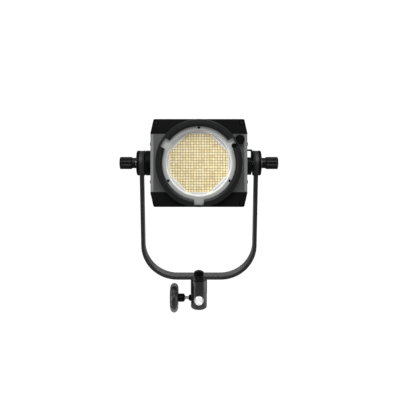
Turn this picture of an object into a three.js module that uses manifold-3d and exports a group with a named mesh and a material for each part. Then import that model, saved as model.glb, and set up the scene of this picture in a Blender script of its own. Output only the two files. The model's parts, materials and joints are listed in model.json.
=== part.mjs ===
// Studio LED spotlight head with an open three-notch bayonet mount, in a U-shaped yoke on a spigot receiver.
// Millimetres, +Z up. The origin is the centre of the receiver's bottom mouth; the light shines towards -Y.
import * as THREE from 'three';
import { mergeVertices } from 'three/addons/utils/BufferGeometryUtils.js';
import Module from 'manifold-3d';

const wasm = await Module();
wasm.setup();

// ---- driving dimensions -------------------------------------------------------------------------
const GAP = 0.3; // clearance between pieces that rest on each other
const PIVOT_Z = 265; // height of the tilt axis above the receiver's mouth
const HEAD_TILT = -10.5; // degrees about +X; negative lifts the front of the head
const FINE = 32; // segments round large cylinders
const COARSE = 12; // segments round small cylinders
const PAST = 1; // how far a cut runs past the face that it opens

const BAR = { width: 20, thick: 6, halfSpan: 101.3, bottomZ: 55.8, corner: 63 };
const EYE_R = 21.2; // round ends of the yoke arms
const BOSS_R = 21.5;
const STUD_R = 5;
const STUD_HOLE_R = 5.3;
const HUB = { outer: 106, chamfer: 2, discInner: 92.5 };

const RECEIVER = { r: 14.75, boreR: 8.3, boreTop: 38, top: 53.2, crossZ: 18, crossR: 8.5, rim: 1 };
const SADDLE = { bottom: RECEIVER.top + GAP, top: 61.6, slot: 10.3 };
const BOLT = {
  headR: 8.6, headBottom: 62.1, headTop: 68.8, shankR: 4, shankBottom: 40, socketR: 3.5, socket: 2.5,
};

const CLAMP = {
  z: 17.5, screwR: 3, holeR: 3.3, screwIn: 12.8, screwOut: 36,
  padR: 2.8, padIn: 9, padOut: 12.5, bossR: 6.4, bossTipR: 4.4, bossOut: 18.6,
};
const WHEEL = {
  hubIn: 25.5, hubR: 7.4, wellOut: 36.3, inner: 37.2, outer: 51.8, r: 26, dishR: 12, flutes: 8,
};
const KNOB = { inner: 108.1, neckEnd: 114, outer: 135.5, r: 10.9, neckR: 9, washerR: 8.6, flutes: 8 };
const STUD = { inner: 79, outer: 124 };

const BODY = { midW: 76.1, topW: 70.9, stripZ: 45.5, topZ: 68.7, front: -83, rear: 102, wall: 3 };
const PLATE = {
  back: -77, bevel: 5, bevelDepth: 4, openingR: 54.3, flangeY: -80, flangeW: 56, flangeZ: 65.5,
};
const TOP_VENTS = { count: 9, start: -58, pitch: 9, width: 4, half: 44 };
const SIDE_VENTS = { count: 8, start: 34, pitch: 8, width: 3.6, half: 30 };
const SCREW_HOLE_R = 1.9;
const CORNER_SCREW = { x: 66.8, z: 63.2, recessR: 4.2, recess: 2.8, r: 3.2, sunk: 0.6, back: 2.5 };
const SIDE_SCREW = { y: -68, z: 30, r: 3.4, proud: 1.6 };

const RING = { r: 68, front: -95, lipR: 56.8, bevelR: 60, lipBack: -91.5, undercutR: 65.5 };
const NOTCH = { width: 15, r: 65, from: 40, angles: [60, 180, 300] };
const BASE = { face: -86, innerR: 51.3, outerR: 65.2, screwR: 55, screwHoleR: 2.1, angles: [0, 120, 240] };
const LOCK = {
  pinR: 3.6, pinAt: 61, pinAngle: 63.7, tabX: 64, tabZ: 36.7, tabR: 7, front: -92, armBack: -73.6,
};

const LED = { flats: 93.5, diagonal: 90.5, margin: 4, front: -74.2, back: -72 };
const OPTIC = {
  r: 54, glassFront: -82.7, glassBack: -80.7, frameBack: -74.5, spreaderR: 50, spreaderBack: -65.7,
};
const SINK = { front: -65.4, base: 7, back: 20, halfW: 54, halfH: 52, fins: 12, finThick: 2 };
const FAN = { front: 24, back: 49, half: 46, boreR: 43.5, hubR: 16, bladeR: 42.5, blades: 7, mount: 3 };
const BOARD_PLATE = { front: 58, back: 60, halfW: 62, halfH: 40 };
const PIVOT = {
  inner: BODY.midW + GAP, outer: 91.2, collarR: 10, legThick: 1.5, strapZ: [20.6, 23.5], strapY: 6,
};

// The rear cover's controls, seen from behind with +X on the left.
const REAR = { front: BODY.rear + GAP, face: 108, edge: 2 };
const DISPLAY = { x: [-22, 30], z: [14, 44], thick: 1.3 };
const DIAL = { x: -46, z: 29, r: 12, shaftR: 3.3, long: 10.5, flutes: 12 };
const BUTTON = { xs: [-12, 4, 20], z: 2, r: 4.5, proud: 1.6 };
const SWITCH = { x: [-58, -38], z: [-46, -32], side: 0.8, end: 1.3 };
const INLET = { x: [-14, 14], z: [-52, -30], depth: 18 };
const PORT = { x: [34, 56], z: [-48, -34], depth: 14 };
const SOCKET_WALL = 2.2;

// ---- materials ----------------------------------------------------------------------------------
function finish(color, roughness, metalness) {
  return new THREE.MeshStandardMaterial({ color, roughness, metalness });
}

const CHARCOAL = finish('#4b4d4d', 0.6, 0.3);
const BLACK = finish('#1c1d1d', 0.55, 0.2);
const RING_BLACK = finish('#26282a', 0.45, 0.5);
const SATIN_SILVER = finish('#b4b8b6', 0.35, 0.9);
const STEEL = finish('#8c8f90', 0.3, 1);
const DARK_SCREW = finish('#141414', 0.4, 0.6);
const RUBBER = finish('#202121', 0.85, 0);
const WHITE = finish('#ecebe4', 0.5, 0);
const PHOSPHOR = finish('#f0dc96', 0.6, 0);
const GLASS = finish('#dfe8ea', 0.05, 0);
const COPPER = finish('#b06c46', 0.35, 0.9);
const BOARD = finish('#1f4a34', 0.6, 0);
const BRASS = finish('#b89550', 0.35, 0.9);
const SCREEN = finish('#10161c', 0.15, 0);

// ---- shape helpers ------------------------------------------------------------------------------
const AXES = {
  x: new THREE.Matrix4().makeBasis(vec(0, 1, 0), vec(0, 0, 1), vec(1, 0, 0)),
  y: new THREE.Matrix4().makeBasis(vec(1, 0, 0), vec(0, 0, 1), vec(0, -1, 0)),
  z: new THREE.Matrix4(),
};

function vec(x, y, z) {
  return new THREE.Vector3(x, y, z);
}

function toSolid(geometry) {
  geometry.deleteAttribute('normal');
  geometry.deleteAttribute('uv');
  const merged = mergeVertices(geometry, 1e-4);
  const vertProperties = new Float32Array(merged.attributes.position.array);
  const triVerts = new Uint32Array(merged.index.array);
  return new wasm.Manifold(new wasm.Mesh({ numProp: 3, vertProperties, triVerts }));
}

function toGeometry(solid) {
  const { vertProperties, triVerts, numProp } = solid.getMesh();
  const geometry = new THREE.BufferGeometry();
  const positions = new Float32Array((vertProperties.length / numProp) * 3);
  for (let i = 0; i < positions.length / 3; i += 1) {
    positions.set(vertProperties.subarray(i * numProp, i * numProp + 3), i * 3);
  }
  geometry.setAttribute('position', new THREE.BufferAttribute(positions, 3));
  geometry.setIndex(new THREE.BufferAttribute(new Uint32Array(triVerts), 1));
  geometry.computeVertexNormals();
  return geometry;
}

// A flat shape pushed along an axis from one coordinate to a higher one.
// Its own x and y lie along Y and Z for axis x, along X and Z for axis y, and along X and Y for axis z.
function prism(shape, from, to, axis, curveSegments = 12) {
  const geometry = new THREE.ExtrudeGeometry(shape, { depth: to - from, bevelEnabled: false, curveSegments });
  geometry.applyMatrix4(AXES[axis]);
  const start = axis === 'y' ? to : from;
  const shift = { x: vec(start, 0, 0), y: vec(0, start, 0), z: vec(0, 0, start) }[axis];
  geometry.translate(shift.x, shift.y, shift.z);
  return toSolid(geometry);
}

function polygon(points) {
  return new THREE.Shape(points.map(([x, y]) => new THREE.Vector2(x, y)));
}

function circle(r, at = [0, 0]) {
  const shape = new THREE.Shape();
  shape.absarc(at[0], at[1], r, 0, Math.PI * 2, false);
  return shape;
}

function rod(r, from, to, axis, at = [0, 0], segments = COARSE) {
  return prism(circle(r, at), from, to, axis, segments / 2);
}

function box(x0, x1, y0, y1, z0, z1) {
  const geometry = new THREE.BoxGeometry(x1 - x0, y1 - y0, z1 - z0);
  geometry.translate((x0 + x1) / 2, (y0 + y1) / 2, (z0 + z1) / 2);
  return toSolid(geometry);
}

// A profile of [radius, height] points turned about +Y, up its outer side and down its inner one.
function turned(profile, segments = FINE) {
  const points = profile.map(([r, h]) => new THREE.Vector2(r, h));
  return toSolid(new THREE.LatheGeometry(points, segments));
}

// The same profile turned about another axis and moved along it.
function turnedAbout(axis, profile, segments = FINE) {
  const turn = { x: [0, 0, -90], z: [90, 0, 0] }[axis];
  return turned(profile, segments).rotate(turn);
}

function polar(radius, degreesFromTop) {
  const angle = THREE.MathUtils.degToRad(degreesFromTop);
  return [radius * Math.sin(angle), radius * Math.cos(angle)];
}

function joined(solids) {
  return solids.reduce((whole, piece) => whole.add(piece));
}

function cut(solid, tools) {
  return tools.reduce((left, tool) => left.subtract(tool), solid);
}

// ---- scene graph --------------------------------------------------------------------------------
const group = new THREE.Group();
const head = new THREE.Group();
head.position.z = PIVOT_Z;
head.rotation.x = THREE.MathUtils.degToRad(HEAD_TILT);
group.add(head);

function place(parent, name, solid, material) {
  const mesh = new THREE.Mesh(toGeometry(solid), material);
  mesh.name = name;
  parent.add(mesh);
}

// ---- yoke ---------------------------------------------------------------------------------------
function yokeOutline() {
  const { halfSpan, thick, bottomZ, corner } = BAR;
  const inner = halfSpan - thick;
  const innerCorner = corner - thick;
  const shape = new THREE.Shape();
  shape.moveTo(-halfSpan, PIVOT_Z);
  shape.lineTo(-halfSpan, bottomZ + corner);
  shape.absarc(-halfSpan + corner, bottomZ + corner, corner, Math.PI, Math.PI * 1.5, false);
  shape.absarc(halfSpan - corner, bottomZ + corner, corner, Math.PI * 1.5, Math.PI * 2, false);
  shape.lineTo(halfSpan, PIVOT_Z);
  shape.lineTo(inner, PIVOT_Z);
  shape.absarc(inner - innerCorner, bottomZ + corner, innerCorner, 0, -Math.PI / 2, true);
  shape.absarc(-inner + innerCorner, bottomZ + corner, innerCorner, -Math.PI / 2, -Math.PI, true);
  shape.lineTo(-inner, PIVOT_Z);
  return shape;
}

function yoke() {
  const bar = prism(yokeOutline(), -BAR.width / 2, BAR.width / 2, 'y', 6);
  const eyes = [-1, 1].map((side) => {
    const ends = [side * (BAR.halfSpan - BAR.thick), side * BAR.halfSpan].sort((a, b) => a - b);
    return rod(EYE_R, ends[0], ends[1], 'x', [0, PIVOT_Z], FINE);
  });
  const pivotHole = rod(STUD_HOLE_R, -BAR.halfSpan - PAST, BAR.halfSpan + PAST, 'x', [0, PIVOT_Z]);
  const boltHole = rod(STUD_HOLE_R, BAR.bottomZ - PAST, BAR.bottomZ + BAR.thick + PAST, 'z');
  return cut(joined([bar, ...eyes]), [pivotHole, boltHole]);
}

// A profile turned about the tilt axis, mirrored for the left arm; side is -1 or 1.
function alongArm(side, profile, segments = FINE) {
  const solid = turnedAbout('x', profile, segments);
  const faced = side < 0 ? solid.rotate([0, 180, 0]) : solid;
  return faced.translate([0, 0, PIVOT_Z]);
}

function hubCap(side) {
  const inner = BAR.halfSpan + GAP;
  const { outer, chamfer } = HUB;
  return alongArm(side, [
    [STUD_HOLE_R, inner], [BOSS_R, inner], [BOSS_R, outer - chamfer], [BOSS_R - chamfer, outer],
    [STUD_HOLE_R, outer], [STUD_HOLE_R, inner],
  ]);
}

function frictionDisc(side) {
  const outer = BAR.halfSpan - BAR.thick - GAP;
  const inner = HUB.discInner;
  return alongArm(side, [
    [STUD_HOLE_R, inner], [BOSS_R, inner], [BOSS_R, outer], [STUD_HOLE_R, outer], [STUD_HOLE_R, inner],
  ]);
}

place(group, 'yoke', yoke(), CHARCOAL);
for (const [word, side] of [['left', -1], ['right', 1]]) {
  place(group, `hub_cap_${word}`, hubCap(side), BLACK);
  place(group, `friction_disc_${word}`, frictionDisc(side), RUBBER);
}

// ---- spigot receiver and its clamp --------------------------------------------------------------
// A blind bore for the spigot from below, and a cross bore of about the same size from front to back.
function standAdapter() {
  const { r, boreR, boreTop, top, crossZ, crossR, rim } = RECEIVER;
  const body = turnedAbout('z', [
    [boreR + rim, 0], [r - rim, 0], [r, rim], [r, top], [STUD_HOLE_R, top],
    [STUD_HOLE_R, boreTop], [boreR, boreTop], [boreR, rim], [boreR + rim, 0],
  ]);
  const crossBore = rod(crossR, -r - PAST, r + PAST, 'y', [0, crossZ], 24);
  const screwHole = rod(CLAMP.holeR, -r - PAST, 0, 'x', [0, CLAMP.z]);
  return cut(body, [crossBore, screwHole]);
}

// A shallow collar between the receiver and the bar, with a channel that keeps the bar from turning.
function saddle() {
  const { bottom, top, slot } = SADDLE;
  const body = rod(RECEIVER.r, bottom, top, 'z', [0, 0], FINE);
  const across = RECEIVER.r + PAST;
  const channel = box(-across, across, -slot, slot, BAR.bottomZ - GAP, top + PAST);
  return cut(body, [channel, rod(STUD_HOLE_R, bottom - PAST, top, 'z')]);
}

// A cylinder head with a rounded top edge and a hexagon socket, on a plain shank.
function yokeBolt() {
  const { headR, headBottom, headTop, shankR, shankBottom, socketR, socket } = BOLT;
  const hexagon = rod(socketR, headTop - socket, headTop + PAST, 'z', [0, 0], 6);
  return cut(turnedAbout('z', [
    [0, shankBottom], [shankR, shankBottom], [STUD_R, shankBottom + 1],
    [STUD_R, headBottom], [headR, headBottom], [headR, headTop - 2.4],
    [headR - 0.8, headTop - 1], [headR - 2.4, headTop], [0, headTop],
  ], 20), [hexagon]);
}

// A short cone that stands on the receiver's round side.
function clampBoss() {
  const { z, bossR, bossTipR, bossOut, holeR } = CLAMP;
  const boss = turnedAbout('x', [
    [0, 10], [bossR, 10], [bossR, RECEIVER.r], [bossTipR, bossOut], [0, bossOut],
  ], 24);
  const seat = rod(RECEIVER.r + GAP, z - 10, z + 10, 'z', [0, 0], FINE);
  const placed = boss.rotate([0, 180, 0]).translate([0, 0, z]);
  return cut(placed, [seat, rod(holeR, -bossOut - PAST, 0, 'x', [0, z])]);
}

function clampScrew() {
  return rod(CLAMP.screwR, -CLAMP.screwOut, -CLAMP.screwIn, 'x', [0, CLAMP.z], 24);
}

function clampPad() {
  return rod(CLAMP.padR, -CLAMP.padOut, -CLAMP.padIn, 'x', [0, CLAMP.z], 24);
}

// A fluted wheel with a round rim on a plain hub, turned about the screw and growing away from the receiver.
function clampKnob() {
  const { hubIn, hubR, wellOut, inner, outer, r, dishR, flutes } = WHEEL;
  const wheel = turnedAbout('x', [
    [0, wellOut], [CLAMP.holeR, wellOut], [CLAMP.holeR, hubIn], [hubR - 2, hubIn], [hubR, hubIn + 2],
    [hubR, inner - 0.4], [r - 5, inner], [r - 1.8, inner + 1.8], [r, inner + 5.2], [r, outer - 5.2],
    [r - 1.8, outer - 1.8], [r - 5, outer], [dishR, outer], [dishR - 2, outer - 1.3], [0, outer - 1.3],
  ]);
  const hollows = Array.from({ length: flutes }, (_, i) => {
    const at = polar(r + 4.2, ((i + 0.5) * 360) / flutes);
    return rod(5.5, inner - PAST, outer + PAST, 'x', at, 10);
  });
  return cut(wheel, hollows).rotate([0, 180, 0]).translate([0, 0, CLAMP.z]);
}

place(group, 'stand_adapter', standAdapter(), CHARCOAL);
place(group, 'yoke_saddle', saddle(), BLACK);
place(group, 'yoke_bolt', yokeBolt(), BLACK);
place(group, 'clamp_boss', clampBoss(), BLACK);
place(group, 'clamp_screw', clampScrew(), STEEL);
place(group, 'clamp_pad', clampPad(), BRASS);
place(group, 'clamp_knob', clampKnob(), RUBBER);

// ---- tilt locking knobs -------------------------------------------------------------------------
function tiltKnob(side) {
  const { inner, neckEnd, outer, r, neckR, flutes } = KNOB;
  const well = STUD.outer + GAP;
  const body = turnedAbout('x', [
    [STUD_HOLE_R, inner], [neckR, inner], [neckR, neckEnd], [r, neckEnd + 1.2], [r, outer - 1.5],
    [r - 1.5, outer], [0, outer], [0, well], [STUD_HOLE_R, well], [STUD_HOLE_R, inner],
  ], 24);
  const hollows = Array.from({ length: flutes }, (_, i) => {
    const at = polar(r + 1.6, (i * 360) / flutes);
    return rod(2.8, neckEnd + 0.6, outer + PAST, 'x', at, 8);
  });
  const knob = cut(body, hollows);
  const faced = side < 0 ? knob.rotate([0, 180, 0]) : knob;
  return faced.translate([0, 0, PIVOT_Z]);
}

function tiltStud(side) {
  const { inner, outer } = STUD;
  return alongArm(side, [[0, inner], [STUD_R, inner], [STUD_R, outer], [0, outer]], COARSE);
}

function tiltWasher(side) {
  const inner = HUB.outer + GAP;
  const outer = KNOB.inner - GAP;
  const r = KNOB.washerR;
  return alongArm(side, [
    [STUD_HOLE_R, inner], [r, inner], [r, outer], [STUD_HOLE_R, outer], [STUD_HOLE_R, inner],
  ], 24);
}

for (const [word, side] of [['left', -1], ['right', 1]]) {
  place(group, `tilt_washer_${word}`, tiltWasher(side), STEEL);
  place(group, `tilt_stud_${word}`, tiltStud(side), STEEL);
  place(group, `tilt_knob_${word}`, tiltKnob(side), RUBBER);
}

// ---- head casing --------------------------------------------------------------------------------
// The front plate fills the middle of the front and has a flange that reaches behind both shells.
// Top shell (upwards = 1) or bottom shell (upwards = -1): a channel with a front wall, thick at its corners.
function shell(upwards) {
  const { midW, topW, stripZ, topZ, front, rear, wall } = BODY;
  const low = stripZ + GAP / 2;
  const outer = polygon([[-midW, low], [midW, low], [topW, topZ], [-topW, topZ]]);
  const inside = polygon([
    [-midW + wall, low - PAST], [midW - wall, low - PAST],
    [topW - wall, topZ - wall], [-topW + wall, topZ - wall],
  ]);
  const hollow = prism(inside, PLATE.back, rear + PAST, 'y');
  const { flangeW, flangeY, flangeZ } = PLATE;
  const pocket = box(-flangeW, flangeW, flangeY, PLATE.back + PAST, low - PAST, flangeZ);
  const opening = rod(PLATE.openingR + GAP, front - PAST, PLATE.back + PAST, 'y', [0, 0], FINE);
  const vents = Array.from({ length: TOP_VENTS.count }, (_, i) => {
    const y = TOP_VENTS.start + i * TOP_VENTS.pitch;
    return box(-TOP_VENTS.half, TOP_VENTS.half, y, y + TOP_VENTS.width, topZ - wall - PAST, topZ + PAST);
  });
  const { x, z, recessR, recess } = CORNER_SCREW;
  const recesses = [-1, 1].flatMap((side) => [
    rod(recessR, front - PAST, front + recess, 'y', [side * x, z]),
    rod(SCREW_HOLE_R, front - PAST, PLATE.back + PAST, 'y', [side * x, z]),
  ]);
  const piece = cut(prism(outer, front, rear, 'y'), [hollow, pocket, opening, ...vents, ...recesses]);
  return upwards > 0 ? piece : piece.rotate([0, 180, 0]);
}

function frontPlate() {
  const { midW, stripZ, front } = BODY;
  const { back, bevel, bevelDepth, openingR, flangeY, flangeW, flangeZ } = PLATE;
  const half = stripZ - GAP / 2;
  const edgeW = flangeW - GAP;
  const edgeZ = flangeZ - GAP;
  const flange = box(-edgeW, edgeW, flangeY + GAP, back, -edgeZ, edgeZ);
  const section = polygon([
    [-midW, back], [-midW, front + bevelDepth], [-midW + bevel, front],
    [midW - bevel, front], [midW, front + bevelDepth], [midW, back],
  ]);
  const opening = rod(openingR, front - PAST, back + PAST, 'y', [0, 0], FINE);
  const pinAt = polar(LOCK.pinAt, LOCK.pinAngle);
  const pinHole = rod(LOCK.pinR + 0.4, front - PAST, back + PAST, 'y', pinAt);
  const tabHole = prism(tabOutline(0.5), front - PAST, back + PAST, 'y', 8);
  return cut(prism(section, -half, half, 'z').add(flange), [opening, pinHole, tabHole]);
}

function sidePanel(side) {
  const { midW, stripZ, rear, wall } = BODY;
  const half = stripZ - GAP / 2;
  const ends = [side * midW, side * (midW - wall)].sort((a, b) => a - b);
  const plate = box(ends[0], ends[1], PLATE.back + GAP, rear, -half, half);
  const [near, far] = [ends[0] - PAST, ends[1] + PAST];
  const vents = Array.from({ length: SIDE_VENTS.count }, (_, i) => {
    const y = SIDE_VENTS.start + i * SIDE_VENTS.pitch;
    return box(near, far, y, y + SIDE_VENTS.width, -SIDE_VENTS.half, SIDE_VENTS.half);
  });
  const { y, z } = SIDE_SCREW;
  const screwHoles = [-z, z].map((height) => rod(SCREW_HOLE_R, near, far, 'x', [y, height]));
  const studHole = rod(STUD_HOLE_R + 1, near, far, 'x');
  return cut(plate, [...vents, ...screwHoles, studHole]);
}

function headOutline(inset = 0) {
  const { midW, topW, stripZ, topZ } = BODY;
  return polygon([
    [-midW + inset, -stripZ], [-topW + inset, -topZ + inset],
    [topW - inset, -topZ + inset], [midW - inset, -stripZ],
    [midW - inset, stripZ], [topW - inset, topZ - inset],
    [-topW + inset, topZ - inset], [-midW + inset, stripZ],
  ]);
}

place(head, 'top_shell', shell(1), BLACK);
place(head, 'bottom_shell', shell(-1), BLACK);
place(head, 'front_plate', frontPlate(), CHARCOAL);
for (const [word, side] of [['left', -1], ['right', 1]]) {
  place(head, `side_panel_${word}`, sidePanel(side), CHARCOAL);
}

// ---- bayonet mount ------------------------------------------------------------------------------
function bayonetRing() {
  const { r, front, lipR, bevelR, lipBack, undercutR } = RING;
  const back = BODY.front - GAP;
  const ring = turned([
    [undercutR, back], [r, back], [r, front + 1.2], [r - 1.2, front], [bevelR, front], [lipR, front + 1.4],
    [lipR, lipBack], [undercutR, lipBack], [undercutR, back],
  ].reverse(), 48);
  const notches = NOTCH.angles.map((angle) => {
    const half = NOTCH.width / 2;
    const slot = box(-half, half, front - PAST, lipBack + PAST, NOTCH.from, NOTCH.r);
    return slot.rotate([0, angle, 0]);
  });
  return cut(ring, notches);
}

function baseRing() {
  const { face, innerR, outerR, screwR, screwHoleR, angles } = BASE;
  const back = BODY.front - GAP;
  const ring = turned([[innerR, face], [outerR, face], [outerR, back], [innerR, back], [innerR, face]], 48);
  const screwHoles = angles.map((angle) => (
    rod(screwHoleR, face - PAST, back + PAST, 'y', polar(screwR, angle))));
  const pinHole = rod(LOCK.pinR + 0.4, face - PAST, back + PAST, 'y', polar(LOCK.pinAt, LOCK.pinAngle));
  return cut(ring, [...screwHoles, pinHole]);
}

function ringScrew(angle) {
  const at = polar(BASE.screwR, angle);
  const top = BASE.face - 0.9;
  const headPiece = rod(BASE.screwHoleR - GAP, top, BODY.front - 2 * GAP, 'y', at);
  return cut(headPiece, [rod(0.9, top - PAST, top + 1, 'y', at, 6)]);
}

// The D of the release tab: its straight side faces the ring, its round side faces outwards.
function tabOutline(grow = 0) {
  const radial = Math.atan2(LOCK.tabZ, LOCK.tabX);
  const r = LOCK.tabR + grow;
  const shape = new THREE.Shape();
  shape.absarc(LOCK.tabX, LOCK.tabZ, r, radial - 2.25, radial + 2.25, false);
  return shape;
}

function releaseTab() {
  const button = prism(tabOutline(), LOCK.front, PLATE.back - GAP, 'y', 10);
  const [pinX, pinZ] = polar(LOCK.pinAt, LOCK.pinAngle);
  const length = Math.hypot(LOCK.tabX - pinX, LOCK.tabZ - pinZ);
  const angle = THREE.MathUtils.radToDeg(Math.atan2(LOCK.tabZ - pinZ, LOCK.tabX - pinX));
  const half = 3.4;
  const arm = box(-3, length + 3, PLATE.back + 2 * GAP, LOCK.armBack, -half, half).rotate([0, -angle, 0]);
  const stem = prism(tabOutline(-2), PLATE.back - 1, LOCK.armBack, 'y', 8);
  return joined([button, arm.translate([pinX, 0, pinZ]), stem]);
}

function lockPin() {
  const [x, z] = polar(LOCK.pinAt, LOCK.pinAngle);
  const shank = rod(LOCK.pinR, LOCK.front + 0.8, PLATE.back + GAP, 'y', [x, z]);
  return shank.add(rod(LOCK.pinR - 0.8, LOCK.front, LOCK.front + 1.2, 'y', [x, z]));
}

place(head, 'bayonet_ring', bayonetRing(), RING_BLACK);
place(head, 'mount_base_ring', baseRing(), SATIN_SILVER);
BASE.angles.forEach((angle, i) => place(head, `ring_screw_${i + 1}`, ringScrew(angle), DARK_SCREW));
place(head, 'lock_pin', lockPin(), BLACK);
place(head, 'release_tab', releaseTab(), BLACK);

// ---- light source -------------------------------------------------------------------------------
// An octagon whose slanted sides are a little closer to its middle than the upright and level ones.
function octagon(grow = 0) {
  const far = (LED.flats + grow) / 2;
  const near = ((LED.diagonal + grow) / 2) * Math.SQRT2 - far;
  const quarter = [[far, near], [near, far]];
  return polygon([0, 1, 2, 3].flatMap((turn) => quarter.map(([x, y]) => {
    const angle = (turn * Math.PI) / 2;
    return [x * Math.cos(angle) - y * Math.sin(angle), x * Math.sin(angle) + y * Math.cos(angle)];
  })));
}

function glassDisc() {
  return rod(OPTIC.r, OPTIC.glassFront, OPTIC.glassBack, 'y', [0, 0], FINE);
}

function reflectorFrame() {
  const front = OPTIC.glassBack + GAP;
  const disc = rod(OPTIC.r, front, OPTIC.frameBack, 'y', [0, 0], FINE);
  return cut(disc, [prism(octagon(), front - PAST, OPTIC.frameBack + PAST, 'y')]);
}

function heatSpreader() {
  return rod(OPTIC.spreaderR, LED.back + GAP, OPTIC.spreaderBack, 'y', [0, 0], FINE);
}

place(head, 'glass_disc', glassDisc(), GLASS);
place(head, 'reflector_frame', reflectorFrame(), WHITE);
place(head, 'led_array', prism(octagon(LED.margin), LED.front, LED.back, 'y'), PHOSPHOR);
place(head, 'heat_spreader', heatSpreader(), COPPER);

// ---- cooling and power --------------------------------------------------------------------------
function heatsink() {
  const { front, base, back, halfW, halfH, fins, finThick } = SINK;
  const pitch = (2 * halfW - finThick) / (fins - 1);
  const plates = Array.from({ length: fins }, (_, i) => {
    const x = -halfW + i * pitch;
    return box(x, x + finThick, front, back, -halfH, halfH);
  });
  return joined([box(-halfW, halfW, front, front + base, -halfH, halfH), ...plates]);
}

function fanFrame() {
  const { front, back, half, boreR, hubR, mount } = FAN;
  const frame = box(-half, half, front, back, -half, half);
  const tunnel = rod(boreR, front - PAST, back + PAST, 'y', [0, 0], FINE);
  const reach = boreR + 1;
  const struts = [45, 135].map((angle) => (
    box(-2, 2, back - mount, back, -reach, reach).rotate([0, angle, 0])));
  const motorMount = rod(hubR - 1, back - mount, back, 'y', [0, 0], 24);
  return joined([cut(frame, [tunnel]), ...struts, motorMount]);
}

function fanRotor() {
  const { front, back, hubR, bladeR, blades, mount } = FAN;
  const hub = rod(hubR, front + 2, back - mount - 0.5, 'y', [0, 0], 24);
  const set = Array.from({ length: blades }, (_, i) => {
    const blade = box(-0.9, 0.9, -8, 8, hubR - 2, bladeR).rotate([0, 0, 40]);
    return blade.translate([0, (front + back) / 2 - 1, 0]).rotate([0, (i * 360) / blades, 0]);
  });
  return joined([hub, ...set]);
}

// Blocks for the transformer, the coil, the filter and the connector strip, and two capacitors.
function driverBoard() {
  const { front, back, halfW, halfH } = BOARD_PLATE;
  const board = box(-halfW, halfW, front, back, -halfH, halfH);
  const on = (front + back) / 2;
  const transformer = box(-50, -20, on, 82, -30, 0);
  const coil = box(-10, 14, on, 78, -34, -12);
  const filter = box(24, 52, on, 74, -34, 6);
  const connectors = box(-50, -24, on, 70, 10, 34);
  const capacitors = [[-2, 10], [18, 22]].map((at) => rod(8, on, 80, 'y', at, 16));
  return joined([board, transformer, coil, filter, connectors, ...capacitors]);
}

place(head, 'heatsink', heatsink(), STEEL);
place(head, 'fan_frame', fanFrame(), BLACK);
place(head, 'fan_rotor', fanRotor(), BLACK);
place(head, 'driver_board', driverBoard(), BOARD);

// ---- pivots on the head -------------------------------------------------------------------------
function pivotBossLeft() {
  const { inner, outer } = PIVOT;
  return turnedAbout('x', [
    [STUD_HOLE_R, inner], [BOSS_R, inner], [BOSS_R, outer - 1], [BOSS_R - 1, outer],
    [STUD_HOLE_R, outer], [STUD_HOLE_R, inner],
  ]).rotate([0, 180, 0]);
}

// A round collar over a half-round lobe; the space above the collar is the eye for the safety cable.
function pivotBossRight() {
  const inner = PIVOT.inner;
  const outer = PIVOT.outer - PIVOT.legThick - GAP;
  const lobe = rod(BOSS_R - 1, inner, outer, 'x', [0, 0], FINE);
  const upperHalf = box(inner - PAST, outer + PAST, -BOSS_R, BOSS_R, 0, BOSS_R);
  const collar = rod(PIVOT.collarR, inner, outer, 'x', [0, 0], FINE);
  return cut(joined([collar, cut(lobe, [upperHalf])]), [rod(STUD_HOLE_R, inner - PAST, outer + PAST, 'x')]);
}

// A bent strap: a foot on the casing, a bridge over the collar and a leg with an eye round the stud.
function safetyCableLoop() {
  const { inner, outer, collarR, legThick, strapZ, strapY } = PIVOT;
  const bridge = box(inner, outer, -strapY, strapY, strapZ[0], strapZ[1]);
  const foot = box(inner, inner + legThick, -strapY, strapY, collarR + 1, strapZ[1]);
  const leg = box(outer - legThick, outer, -strapY, strapY, 0, strapZ[1]);
  const eye = rod(collarR, outer - legThick, outer, 'x', [0, 0], FINE);
  const studHole = rod(STUD_HOLE_R, outer - legThick - PAST, outer + PAST, 'x');
  return cut(joined([bridge, foot, leg, eye]), [studHole]);
}

place(head, 'pivot_boss_left', pivotBossLeft(), BLACK);
place(head, 'pivot_boss_right', pivotBossRight(), BLACK);
place(head, 'safety_cable_loop', safetyCableLoop(), BLACK);

// ---- casing screws ------------------------------------------------------------------------------
function cornerScrew(sideX, sideZ) {
  const { x, z, r, sunk, back } = CORNER_SCREW;
  const at = [sideX * x, sideZ * z];
  const front = BODY.front + sunk;
  const socket = rod(1.5, front - PAST, front + 1.4, 'y', at, 6);
  return cut(rod(r, front, BODY.front + back, 'y', at), [socket]);
}

function sideScrew(sideX, sideZ) {
  const { y, z, r, proud } = SIDE_SCREW;
  const seat = BODY.midW + GAP;
  const piece = turnedAbout('x', [
    [0, seat], [r, seat], [r - 0.4, seat + 1], [r - 1.8, seat + proud], [0, seat + proud],
  ], 10);
  return (sideX < 0 ? piece.rotate([0, 180, 0]) : piece).translate([0, y, sideZ * z]);
}

[[-1, 1], [1, 1], [1, -1], [-1, -1]].forEach(([sideX, sideZ], i) => {
  place(head, `corner_screw_${i + 1}`, cornerScrew(sideX, sideZ), DARK_SCREW);
  place(head, `side_screw_${i + 1}`, sideScrew(sideX, sideZ), DARK_SCREW);
});

// ---- rear cover and controls ----------------------------------------------------------------------
function window({ x, z }, from, to) {
  return box(x[0], x[1], from, to, z[0], z[1]);
}

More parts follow.
